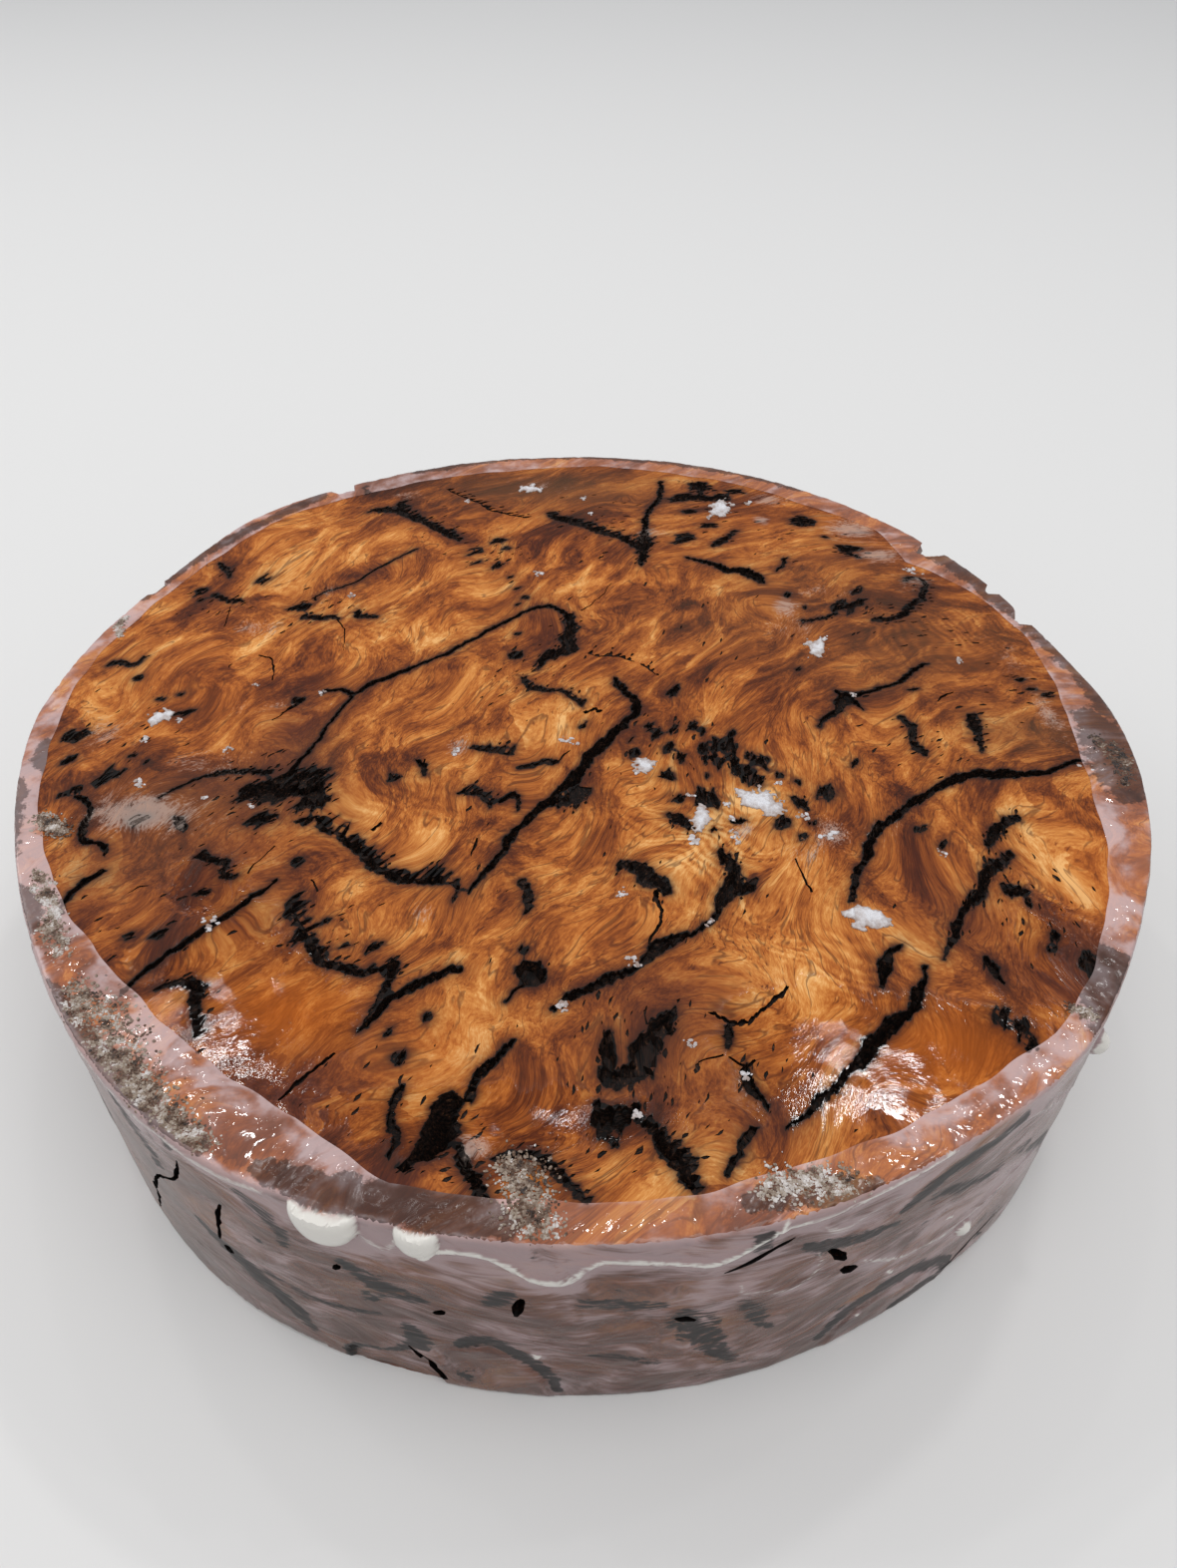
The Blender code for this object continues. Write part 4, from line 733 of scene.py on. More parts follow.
class Wire:
    """A socket of a material's nodes, so that masks and amounts can be written as sums."""

    def __init__(self, tree, socket=None):
        self.tree = tree
        self.socket = socket

    def fill(self, node, values):
        """Give sockets of a node their values, or the wires that lead to them."""
        for key, value in values.items():
            if isinstance(value, Wire):
                self.tree.links.new(value.socket, node.inputs[key])
            else:
                node.inputs[key].default_value = value

    def node(self, kind, settings, values, output=0):
        """A node of a type, with its settings set first and then the values or links of its sockets."""
        made = self.tree.nodes.new("ShaderNode" + kind)
        for key, value in settings.items():
            if key == "stops":
                set_stops(made.color_ramp.elements, value)
            else:
                setattr(made, key, value)
        self.fill(made, values)
        return Wire(self.tree, made.outputs[output])

    def other(self, output):
        """Another output of the same node."""
        return Wire(self.tree, self.socket.node.outputs[output])

    def layer(self, name, output="Vector"):
        """What the points or corners of a piece carry under a name."""
        return self.node("Attribute", {"attribute_name": name}, {}, output)

    def math(self, operation, *values):
        """A sum of this socket and others."""
        return self.node("Math", {"operation": operation}, dict(enumerate((self, *values))))

    def __add__(self, other):
        return self.math("ADD", other)

    def __sub__(self, other):
        return self.math("SUBTRACT", other)

    def __rsub__(self, other):
        return self.node("Math", {"operation": "SUBTRACT"}, {0: other, 1: self})

    def __mul__(self, other):
        return self.math("MULTIPLY", other)

    __radd__ = __add__
    __rmul__ = __mul__

    def rise(self, low, high):
        """0 below low, 1 above high and smooth between; the other way round where low is higher."""
        return self.node("MapRange", {"interpolation_type": "SMOOTHSTEP"},
                         {"Value": self, "From Min": low, "From Max": high})

    def ramp(self, *stops):
        """Colour of this level, from places and colours."""
        return self.node("ValToRGB", {"stops": stops}, {0: self})

    def split(self):
        """The three numbers of a vector."""
        x = self.node("SeparateXYZ", {}, {0: self})
        return x, x.other(1), x.other(2)

    def noise(self, stretch, detail=2.0, roughness=0.55, shift=(0.0, 0.0, 0.0)):
        """Cloudy noise on this vector, with so many lumps a millimetre along each of its axes."""
        vector = self.node("VectorMath", {"operation": "MULTIPLY_ADD"}, {0: self, 1: stretch, 2: shift})
        return self.node("TexNoise", {}, {"Vector": vector, "Scale": 1.0, "Detail": detail,
                                          "Roughness": roughness})

    def tint(self, other, amount):
        """This colour mixed with another by an amount or a mask."""
        return self.node("Mix", {"data_type": "RGBA"}, {0: amount, 6: self, 7: other}, 2)


def colour(red, green, blue):
    """Colour as the shader wants it, from the 0 to 255 numbers of a picture."""
    levels = [level / 255 for level in (red, green, blue)]
    levels = [level / 12.92 if level <= 0.04045 else ((level + 0.055) / 1.055) ** 2.4 for level in levels]
    return (*levels, 1.0)


def new_material(name):
    """Empty material, with its Principled shader and a first wire to build on."""
    material = bpy.data.materials.new(name)
    material.use_nodes = True
    tree = material.node_tree
    return material, tree.nodes["Principled BSDF"], Wire(tree)


# Heartwood from its darkest streaks to its palest curls, what grows or soaks into it, and the brown of the
# painted shade by the bark
FIGURE = ((0.0, colour(44, 16, 6)), (0.22, colour(92, 40, 13)), (0.42, colour(142, 73, 26)),
          (0.58, colour(178, 101, 40)), (0.78, colour(210, 138, 68)), (1.0, colour(238, 182, 114)))
FIGURE_LEVEL = 0.435  # where in it plain wood lies
REDDISH = colour(66, 24, 10)
PLUM = colour(78, 36, 28)
DULL = colour(102, 68, 40)
AMBER = colour(182, 92, 18)
PAINTED_SHADE_BROWN = colour(54, 26, 16)
BARK_DARK, BARK_PALE, BARK_CRUMB = colour(9, 5, 4), colour(40, 24, 17), colour(92, 60, 38)
DUST = colour(196, 166, 134)
FROST = colour(176, 158, 148)


def burl(wire):
    """Colour of sawn burl, also where it is seen through wax, with its grain and the masks of its finish."""
    grain = wire.layer("grain")
    tone, plum, amber = wire.layer("zones").split()
    dull, ripple, wet = wire.layer("looks").split()
    painted_bark_shade, bark, haze = wire.layer("edges").split()
    broad = grain.noise((1 / 24, 1 / 13, 0.05), 3.0, 0.58)
    patch = grain.noise((1 / 8, 1 / 4.0, 0.05), 3.0, 0.6, (60, 12, 7))
    streak = grain.noise((1 / 5, 1 / 0.9, 0.1), 3.0, 0.66, (5, 9, 3))
    fibre = grain.noise((1 / 1.1, 1 / 0.36, 0.3), 2.0, 0.75, (2, 40, 5))
    spot = grain.node("VectorMath", {"operation": "MULTIPLY"}, {0: grain, 1: (1 / 17, 1 / 9, 0)})
    spot = spot.node("VectorMath", {"operation": "ADD"}, {0: spot, 1: patch * 0.7})
    reach = spot.node("TexVoronoi", {"voronoi_dimensions": "2D"}, {"Vector": spot, "Scale": 1.0})
    plate = reach.other("Color").split()[0]
    chatter = (grain.split()[0] * 2.6 + broad * 9.0).math("SINE")
    level = FIGURE_LEVEL + (plate - 0.5) * 0.24 + reach * 0.12
    level = level + (broad - 0.5) * 1.3 + (patch - 0.5) * 1.08 + (streak - 0.5) * 0.36 + (fibre - 0.5) * 0.62
    level = level + tone * 0.34 + chatter * (ripple * 0.11 + 0.012)
    shade = level.ramp(*FIGURE)
    line = grain.noise((1 / 17, 1 / 3.6, 0.05), 2.0, 0.6, (17, 31, 2)) - 0.5
    line = line.math("ABSOLUTE").rise(0.026, 0.004) * (patch + streak * 0.5 - broad * 0.4).rise(0.36, 0.6)
    dash = grain.noise((1 / 3.6, 1 / 0.5, 0.2), 2.0, 0.6, (11, 60, 1)).rise(0.58, 0.68)
    dash = dash * (broad + patch).rise(1.1, 0.9)
    shade = shade.tint(REDDISH, dash * 0.75)
    shade = shade.tint(REDDISH, line * 0.62)
    shade = shade.tint(DULL, dull * (0.25 + streak * 0.7))
    shade = shade.tint(PLUM, plum * (patch * 1.2 + streak * 1.4 - 0.6))
    shade = shade.tint(AMBER, amber * 0.5)
    # Painted shade on the wood beside the bark and splits
    shade = shade.tint(PAINTED_SHADE_BROWN, painted_bark_shade * (0.3 + patch * 1.3))
    # The painted shade turns black right at the edge of the bark, broken by the streaks
    shade = shade.tint(BARK_DARK, (painted_bark_shade + (streak - 0.5) * 0.9).rise(0.86, 0.97))
    shade = shade.tint(DUST, fibre.rise(0.7, 0.82) * 0.3)
    return shade, grain, {"wet": wet, "bark": bark, "haze": haze, "patch": patch - 0.5, "fibre": fibre - 0.5}


def paint_burl():
    """Bare sawn burl, with black bark in its splits and pockets."""
    material, shader, wire = new_material("sawn_burl")
    shade, grain, masks = burl(wire)
    bark, patch, fibre = masks["bark"], masks["patch"], masks["fibre"]
    crumb = grain.noise((1.4, 1.4, 1.4), 2.0, 0.75, (4, 4, 4))
    shade = shade.tint(crumb.ramp((0.44, BARK_DARK), (0.64, BARK_PALE), (0.76, BARK_CRUMB)), bark)
    shade = shade.tint(FROST, (masks["haze"] + fibre * 1.6 + patch * 1.6).rise(0.45, 0.95) * 0.55)
    wet = (masks["wet"] + patch * 0.8).rise(0.34, 0.5) * (1 - bark)
    nap = grain.noise((1 / 1.6, 1 / 0.6, 0.8), 2.0, 0.65, (12, 4, 5))
    height = nap * (1 - wet * 0.86 + bark)
    bump = wire.node("Bump", {}, {"Strength": 0.75, "Distance": 0.00028, "Height": height})
    wire.fill(shader, {"Base Color": shade, "Roughness": 0.64 - wet * 0.59 + fibre * 0.1, "Normal": bump,
                       "Specular IOR Level": 0.16})
    return material


# Eddies of burl: reach along and across the grain, how far they push it each way, and a shift
EDDIES = ((22, 15, 9, 7.5, 0), (10, 7, 3.6, 2.4, 3), (4.6, 3.6, 1.3, 0.7, 7))
EDDY_SEED = 21  # without it vector noise would differ from run to run
noise.seed_set(EDDY_SEED)
# What each layer of a piece carries in its three numbers
PACKED = {"grain": ("along", "across", "depth"), "zones": ("tone", "plum", "amber"),
          "looks": ("dull", "ripple", "wet"), "edges": ("painted_bark_shade", "bark", "haze")}


def stir(along, across):
    """Grain coordinates as the eddies of the burl leave them."""
    for reach_along, reach_across, push_along, push_across, shift in EDDIES:
        push = np.array([noise.noise_vector(Vector((a / reach_along + shift, b / reach_across, shift)))[:2]
                         for a, b in zip(along.tolist(), across.tolist())])
        along, across = along + push_along * push[:, 0], across + push_across * push[:, 1]
    return along, across


def figure_layers(figure, faces):
    """Values on the corners of some triangles, packed in threes as the material reads them."""
    along, across = stir(figure["along"], figure["across"])
    figure = {**figure, "along": along, "across": across}
    zero = np.zeros(len(along))
    return {layer: np.stack([figure.get(name, zero) for name in names], 1)[faces]
            for layer, names in PACKED.items()}


WELD, SLIVER = 0.004, 0.0002  # points this close are joined, and edges this short dropped
CREASE = math.radians(40)  # edges that turn more than this stay sharp


def new_piece(name, places, faces):
    """Mesh object from places in millimetres."""
    mesh = bpy.data.meshes.new(name)
    mesh.from_pydata((places * MM).tolist(), [], faces.tolist())
    piece = bpy.data.objects.new(name, mesh)
    bpy.context.scene.collection.objects.link(piece)
    return piece


def sheets_piece(name, sheets):
    """One smooth piece from sheets that meet at their edges, with layers of values on their corners."""
    starts = np.cumsum([0] + [len(places) for places, _, _ in sheets])
    piece = new_piece(name, np.vstack([places for places, _, _ in sheets]),
                      np.vstack([faces + start for (_, faces, _), start in zip(sheets, starts)]))
    mesh = piece.data
    for key in sheets[0][2]:
        values = np.concatenate([layers[key] for _, _, layers in sheets])
        layer = mesh.attributes.new(key, "FLOAT_VECTOR", "CORNER")
        layer.data.foreach_set("vector", values.astype(np.float32).ravel())
    work = bmesh.new()
    work.from_mesh(mesh)
    bmesh.ops.remove_doubles(work, verts=work.verts, dist=WELD * MM)
    bmesh.ops.dissolve_degenerate(work, dist=SLIVER * MM, edges=work.edges)
    work.to_mesh(mesh)
    work.free()
    mesh.shade_smooth()
    mesh.set_sharp_from_angle(angle=CREASE)
    return piece


# Cracks and holes of the side, through the wax into the wood: depth, then angle, height and width
SIDE_CRACKS = (
    (5.0, ((237.2, 56.5, 0.5), (236.6, 52, 0.9), (236, 49, 1.2), (235.2, 45, 0.9), (233.5, 41, 0.8),
        (232, 37.5, 1.0), (230.5, 33, 0.9), (229.5, 28, 1.3), (228.5, 24, 1.5), (228, 20, 1.3),
        (227, 14, 1.3), (226, 9, 1.1), (225, 4, 0.5))),
    (4.0, ((240.8, 49, 0.5), (240.2, 45, 1.0), (239.7, 42, 1.3), (239.3, 38, 1.1), (238.9, 34, 0.9),
        (238.4, 30, 0.5))),
    (3.0, ((239.4, 29, 0.8), (239.2, 27.5, 2.2), (238.9, 25.8, 0.6))),
    (3.0, ((281, 49.4, 0.5), (281.8, 50.2, 0.9), (283.8, 53.2, 1.5), (285.4, 55.8, 1.0),
        (286.2, 56.9, 0.4))),
    (5.0, ((265, 36.2, 0.7), (265.2, 39.6, 2.2), (265.5, 42, 2.0), (265.7, 43.6, 0.8))),
    (6.0, ((289.7, 47.4, 0.7), (290.3, 45, 2.0), (290.8, 43, 2.8), (291.3, 41, 2.0), (291.7, 39.6, 0.8))),
    (3.0, ((291.6, 37, 1.0), (292.3, 35.2, 3.0), (293, 33.2, 1.6))),
    (4.0, ((255.4, 14.8, 0.5), (256.4, 11, 1.6), (257.4, 7.4, 2.2), (258.4, 2.9, 1.2))),
    (2.0, ((250.4, 40.8, 0.6), (250.8, 42.2, 1.4), (251.1, 43.4, 0.6))),
    (2.0, ((258.4, 32.4, 0.8), (258.9, 33.6, 2.0), (259.2, 34.8, 0.8))),
    (2.0, ((277.6, 34.4, 0.6), (278.4, 33.2, 2.2), (279.3, 31.8, 0.8))),
    (1.5, ((305.8, 3.4, 0.5), (307, 4, 1.0), (309, 8, 1.0), (311, 10, 0.9), (313.4, 10.6, 0.4))),
)
CRACK_WALL = 2.0
CRACK_SEED = 900


def side_spot(degrees):
    """Length round the side to an angle, from the back where the unrolled side begins."""
    return ((np.asarray(degrees, float) - 90.0) % 360.0) / 360.0 * AROUND


def side_degrees(s):
    """Angle of a length round the side."""
    return np.asarray(s, float) / AROUND * 360.0 + 90.0


def on_roll(line):
    """A line given by angle, height and width, as lengths on the unrolled side."""
    return [(float(side_spot(degrees)), height, width) for degrees, height, width in line]


side_cracks = []
for number, (depth, line) in enumerate(SIDE_CRACKS):
    draw = np.random.default_rng(CRACK_SEED + number)
    curve = smooth_line(on_roll(line), 0.9)
    _, normal = ways(curve)
    half = curve[:, 2:] / 2 * (1 + 0.25 * wobble(draw, len(curve), 2)[:, None])
    middle = curve[:, :2] + 0.2 * wobble(draw, len(curve), 3)[:, None] * normal
    outline = np.vstack([middle + normal * half, (middle - normal * half)[::-1]])
    side_cracks.append((outline, CRACK_WALL, depth))

# The three sawn sheets of the slab: its face, its side and its underside
HIDDEN = -0.6  # how far the wood's outline draws back under the wax that covers it
GRID_HALF = 130
FACE_PITCH, SIDE_PITCH, UNDER_PITCH = 1.45, 4.0, 3.2  # gaps between the points of each sheet
SEAM_STEPS = 16  # steps from the underside up to the face, where the unrolled side closes
turns = rim_angles(1.0)
rows = np.arange(BACK, FACE + 0.1, (FACE - BACK) / SEAM_STEPS)


def within(z, margin, pitch, seed):
    """Uneven grid of points that lie clear inside the slab's outline at a height."""
    spots = scatter((-GRID_HALF, -GRID_HALF), (GRID_HALF, GRID_HALF), pitch, seed)
    degrees = np.degrees(np.arctan2(spots[:, 1], spots[:, 0]))
    return spots[np.hypot(*spots.T) < rim_radius(degrees, z, HIDDEN) - margin]


def roll_border(lengths, low, high, seam):
    """Border of the unrolled side: along its lower edge, up the seam, back along its upper edge and down."""
    return np.vstack([np.column_stack([lengths, np.full(len(lengths), low)]),
                      np.column_stack([np.full(len(seam), AROUND), seam]),
                      np.column_stack([lengths, np.full(len(lengths), high)])[::-1],
                      np.column_stack([np.zeros(len(seam)), seam[::-1]])])


def sawn_sheet(places, faces, figure, depths, bark):
    """A sheet of the slab: its places, its triangles, and what each of their corners carries."""
    layers = figure_layers({**figure, "depth": depths}, faces)
    layers["edges"][:, :, 1] = bark[:, None]
    return places, faces, layers


face_pits = face_outlines()
outline = round_places(turns, rim_radius(turns, FACE, HIDDEN))
spots, depths, faces, bark = carve(outline, face_pits, within(FACE, 0.8, FACE_PITCH, 1))
figure = face_figure(*spots.T, bark_distance(spots, face_pits))
flat = np.column_stack([spots, np.zeros(len(spots))])
ripple = 0.02 * lumps(flat, 4.0, 2.2) + 0.04 * lumps(flat, 13.0, 6.1)
ripple += figure["wet"] * (0.1 * lumps(flat, 4.8, 8.3) + 0.055 * lumps(flat, 2.6, 4.9))
sheets = [sawn_sheet(np.column_stack([spots, FACE - depths + ripple]), faces, figure, depths, bark)]

side_turns = np.concatenate([side_spot(turns[turns >= 90]), side_spot(turns[turns < 90]), [AROUND]])
fill = scatter((2, BACK + 2), (AROUND - 2, FACE - 1.5), SIDE_PITCH, 2)
border = roll_border(side_turns, BACK, FACE, rows[1:-1])
spots, depths, faces, bark = carve(border, side_cracks, fill, clearance=0.8)
degrees, height = side_degrees(spots[:, 0]), spots[:, 1]
places = round_places(degrees, rim_radius(degrees, height, HIDDEN) - depths, height)
sheets.append(sawn_sheet(places, faces, side_figure(*spots.T), depths, bark))

# Splits of the underside, made up in the way of the face's
UNDER_SPLITS = (
    (3.0, 0, NONE, ((-60, -20, 0.5), (-42, -8, 1.4), (-20, -2, 2.2), (4, -8, 1.6), (26, -22, 1.0),
        (38, -40, 0.4))),
    (2.0, 1.4, BOTH, ((20, 40, 1.0), (34, 52, 2.6), (52, 56, 1.6), (70, 70, 0.6))),
    (2.0, 1.6, LEFT, ((-80, 30, 0.8), (-66, 44, 2.0), (-50, 66, 1.8), (-44, 84, 0.6))),
    (3.0, 0, NONE, ((10, -100, 0.5), (18, -84, 1.6), (30, -70, 1.2), (50, -66, 0.5))),
    (1.2, 1.2, BOTH, ((-40, -60, 1.0), (-48, -70, 3.4), (-60, -80, 1.4))),
)
UNDER_SEED = 700
UNDER_WALL = 1.0
UNDER_SCALE = 0.9  # the underside reads the face's figure turned over and drawn in by this
under_pits = [(split_outlines(line, feathers, sides, UNDER_SEED + number)[0], min(UNDER_WALL, depth), depth)
              for number, (depth, feathers, sides, line) in enumerate(UNDER_SPLITS)]
outline = round_places(turns, rim_radius(turns, BACK, HIDDEN))
fill = within(BACK, 1.6, UNDER_PITCH, 3)
spots, depths, faces, bark = carve(outline, under_pits, fill, clearance=0.6)
figure = face_figure(spots[:, 1] * UNDER_SCALE, spots[:, 0] * UNDER_SCALE, bark_distance(spots, under_pits))
sheets.append(sawn_sheet(np.column_stack([spots, BACK + depths]), faces[:, ::-1], figure, depths, bark))

burl_slab = sheets_piece("burl_slab", sheets)
burl_slab.data.materials.append(paint_burl())
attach(burl_slab, "root")
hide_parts("burl_blank")

# The sealing wax
# Clear wax that the slab's rim was dipped in from both sides, to keep it from drying and cracking. It laps
# over the face and under the foot, clouds where it is thick, and hangs in beads and runs below the rim.

wax_low, wax_high = (np.array(corner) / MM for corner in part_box("wax_seal"))
WAX_TOP = float(wax_high[2])
BOX_GAP = 0.02  # how far the wax stays inside its own box
COAT_OUT = COAT - 0.28  # how far its surface stands out from the wood's outline
TOUCH = 0.04  # gap between the wood and the skin of wax that lies on it
WAX_ROUND, FOOT_ROUND = 1.3, 0.8  # roundness of the wax over the sawn edge and under the foot
# Thickness of the lap at its edge, how much it gains on its way in, and how long that way is
LAP_THIN, LAP_GAIN, LAP_WAY = 0.08, WAX_TOP - FACE - 0.34, 5.0
SWELL_BACK = 0.12  # how far the side draws back, to leave room for its swell
# Radius of the wax's edge on the face, by angle, and the same under the foot, which waves three times round
DIP_LINE = ((0, 115), (15, 119.6), (30, 117.7), (37, 114), (45, 120), (60, 120), (75, 121.3), (90, 121.5),
    (105, 120.8), (125, 123.4), (135, 125), (150, 121), (165, 122.3), (180, 122), (205, 118), (215, 114.4),
    (235, 112.6), (245, 114.5), (255, 119), (270, 119), (285, 118.6), (300, 118.8), (315, 122.5), (330, 121),
    (345, 116.5), (360, 115))
UNDER_LINE, UNDER_WAVE, UNDER_TURN = 117.0, 2.0, math.radians(40)

# Milky ridges and runs on the side: height, milkiness, and angle, height and width along them
RUNS = (
    (0.55, 0.85, ((258.4, 56.5, 0.8), (260, 58.6, 1.0), (261.6, 59.2, 1.2), (263.2, 58.6, 1.0),
        (264.4, 57, 1.2), (265.4, 54.5, 0.9), (266.2, 52.2, 1.0), (267.2, 50.6, 1.3), (268.4, 50.4, 1.6),
        (269.4, 52.2, 1.2), (270.4, 55.8, 0.9), (271.6, 58.2, 1.1), (274, 58.0, 1.3), (276.4, 56.6, 1.0),
        (278.6, 55.2, 1.1), (280.2, 54.2, 1.5), (281.6, 55.8, 1.1), (283.2, 58.4, 0.9), (284.8, 61, 0.9),
        (285.4, 64, 0.8))),
    (0.35, 0.7, ((284.8, 61.4, 0.8), (287, 61.2, 1.0), (289, 61.4, 1.0), (292, 62.0, 1.1), (296, 62.8, 0.9),
        (300, 63.4, 0.8))),
    (0.25, 0.5, ((288.6, 57.5, 1.0), (289.6, 54.5, 1.6), (290.6, 53.2, 1.2), (291.8, 54.6, 1.0),
        (293.4, 56.6, 1.4), (295.4, 57.4, 0.9))),
    (0.3, 0.6, ((293.6, 36, 0.8), (295, 33.4, 1.1), (296.6, 30.4, 1.3), (298.4, 27.8, 0.9), (301, 26.4, 1.0),
        (303.4, 25, 1.2), (306, 26.4, 1.0), (308.4, 28, 0.9), (311, 30, 1.0), (314, 31.4, 0.7))),
    (0.25, 0.5, ((253.4, 60.5, 1.0), (254.2, 57.4, 1.4), (255.4, 55, 1.2), (256.2, 57.6, 1.0),
        (256.6, 60, 0.8))),
    (0.25, 0.5, ((285.4, 37, 0.7), (286.8, 36.4, 0.9), (288.4, 38.6, 1.0), (289.2, 43, 0.9),
        (288.8, 48, 0.8))),
    (0.2, 0.45, ((282.4, 45, 0.8), (283, 40.4, 1.0), (285.4, 38.8, 0.8))),
    (0.25, 0.45, ((301, 60, 0.8), (306, 58, 1.0), (311, 54.6, 1.2), (314.4, 49, 0.9), (318, 45, 0.7))),
    (0.35, 0.6, ((212, 62.8, 1.0), (219, 61.6, 1.3), (226, 62.5, 1.1), (231, 61.2, 1.5), (236, 62.2, 1.2),
        (241, 61.8, 1.6), (246, 62.8, 1.2))),
)
# Beads and drips: angle, height of the middle, half width, height above the side, half height
BEADS = ((251.0, 61.4, 6.0, 3.3, 8.0), (258.2, 61.8, 3.8, 2.2, 5.6), (323.5, 45, 2.4, 3.0, 3.4),
    (306, 22, 1.8, 1.4, 2.6), (266.5, 19.5, 0.9, 0.5, 0.9), (295.3, 9.5, 0.8, 0.4, 0.8),
    (297.5, 23, 0.7, 0.5, 0.7), (303, 33, 0.7, 0.5, 0.7))
# Bark seen through the wax of the side: darkness, and angle, height and width along it
SIDE_BARK = (
    (0.7, ((213, 60, 2.4), (215, 50, 4), (217.4, 40, 3), (218, 30, 1.6))),
    (0.6, ((236.6, 32, 2.0), (241, 24, 4.2), (244.4, 16, 3.6), (246, 8, 2.0))),
    (0.6, ((251.6, 45, 2.0), (254, 40, 3.6), (257, 37, 2.4))),
    (0.8, ((296.4, 50, 1.6), (299, 54, 3.0), (303, 56.6, 2.6), (308, 58.6, 1.8))),
    (0.7, ((287.4, 52, 1.4), (289.4, 49, 2.8), (292.6, 47, 2.4), (296, 45.4, 1.4))),
    (0.55, ((270.4, 44, 1.6), (273.4, 41.4, 2.8), (276.4, 40, 1.8))),
    (0.8, ((260, 20.5, 1.4), (261, 23.4, 2.0), (262.6, 24.4, 2.2), (264.2, 22, 2.0), (265.6, 18, 1.8),
        (266.8, 13.6, 1.8), (267.8, 8.6, 1.6), (268.3, 3, 1.2))),
    (0.75, ((249.2, 0.5, 1.2), (249.5, 4.4, 1.6), (250.4, 7.6, 1.8), (252.5, 8.8, 1.8), (254, 10.4, 1.8),
        (255, 14, 1.4))),
    (0.7, ((255.9, 24, 2.2), (256.4, 20, 3.4), (256.2, 16.5, 3.0), (255.4, 13.5, 1.6))),
    (0.6, ((278.2, 36, 2.2), (278.6, 32.6, 4.0), (279.4, 28, 3.4), (280.4, 22, 3.2), (281.8, 16, 2.6),
        (283.2, 10.4, 1.8))),
    (0.45, ((283.2, 36.4, 1.8), (284, 32, 2.8), (285, 26, 2.2), (286, 21.5, 1.2))),
    (0.6, ((263, 40.2, 1.6), (263.9, 43, 3.0), (264.6, 46, 1.8))),
    (0.75, ((291.6, 6.5, 1.6), (293, 11.4, 2.4), (295.4, 15.4, 2.6), (298.6, 16.4, 2.8), (301.4, 14.8, 2.6),
        (303.8, 11.4, 2.6), (305.6, 7.6, 2.4), (306.4, 3, 2.0))),
    (0.7, ((300, 2, 2.0), (303, 3, 3.0), (306, 2.2, 2.0))),
    (0.5, ((243.6, 58.5, 2.0), (245.2, 54, 2.6), (246.4, 49, 2.2), (246.2, 44, 1.4))),
    (0.5, ((229, 58, 2.4), (231.4, 53, 3.6), (233, 47, 2.6), (232.4, 43, 1.4))),
    (0.5, ((221, 46, 2.0), (222.6, 40, 3.0), (222, 33, 2.4), (221, 27, 1.4))),
    (0.4, ((270.8, 21, 1.2), (272.6, 19.4, 2.2), (274.8, 17.4, 1.8), (276.6, 14.6, 1.0))),
    (0.45, ((243, 27, 1.6), (246.4, 25, 2.2), (249.4, 24.6, 1.6), (253.6, 27, 1.2))),
    (0.5, ((312, 38, 2.0), (315, 33, 3.2), (317, 27, 2.4), (318, 20, 1.4))),
    (0.5, ((300.4, 48, 1.6), (303, 44.6, 2.6), (305.6, 41.8, 2.0), (308, 40.6, 1.2))),
    (0.5, ((322, 16, 2.0), (325, 12.4, 3.0), (328.5, 10.4, 2.0))),
    (0.45, ((328, 54, 1.8), (331, 49, 3.0), (333.4, 42, 2.0))),
    (0.45, ((209, 30, 1.4), (211, 24, 2.8), (212, 16, 2.4), (214, 10, 1.2))),
    (0.5, ((196, 52, 1.6), (198, 46, 3.0), (201, 40, 2.2), (203, 36, 1.0))),
)
# A dark streak down the back, as height and width, at both ends of the unrolled side
BACK_STREAK = ((-1, 2.2), (9, 4.6), (20, 1.8), (32, 3.8), (43, 1.6), (54, 3.2), (65, 2))
side_bark = list(SIDE_BARK)
for angle in (90.01, 89.99):
    side_bark.append((0.8, [(angle, height, width) for height, width in BACK_STREAK]))
# More of it, strewn round the back
BACK_BARK_SEED = 41
draw = np.random.default_rng(BACK_BARK_SEED)
for place in np.arange(-20, 190, 9.0):
    angle, height, reach = place + draw.uniform(-3, 3), draw.uniform(8, 52), draw.uniform(5, 14)
    lean = draw.uniform(-2.5, 2.5)
    darkness = draw.uniform(0.3, 0.6)
    side_bark.append((darkness, ((angle - lean, height + reach, 1.2), (angle, height, draw.uniform(2, 4)),
                                 (angle + lean, height - reach * 0.7, 1.0))))


def strokes(spots, lines, widen=1.0):
    """How far each place lies within strokes: 1 on their middle lines, 0 from their edges on."""
    result = np.zeros(len(spots))
    for line in lines:
        curve = smooth_line(line, 1.6)
        margin = curve[:, 2].max() * widen + 0.5
        near = boxed(spots, curve[:, :2].min(0) - margin, curve[:, :2].max(0) + margin)
        if not len(near):
            continue
        start, step = curve[:-1, :2], np.diff(curve[:, :2], axis=0)
        away = spots[near][:, None] - start
        t = np.clip((away * step).sum(2) / np.maximum((step ** 2).sum(1), 1e-9), 0, 1)
        width = (curve[:-1, 2] + np.diff(curve[:, 2]) * t) * widen
        away = np.hypot(*np.moveaxis(away - step * t[..., None], 2, 0))
        result[near] = np.maximum(result[near], (1 - away / width).max(1))
    return np.clip(result, 0, 1)


def arch(degrees, middle, half):
    """1 at an angle, fading to 0 on both sides."""
    return np.exp(-(((np.asarray(degrees) - middle + 180) % 360 - 180) / half) ** 2)


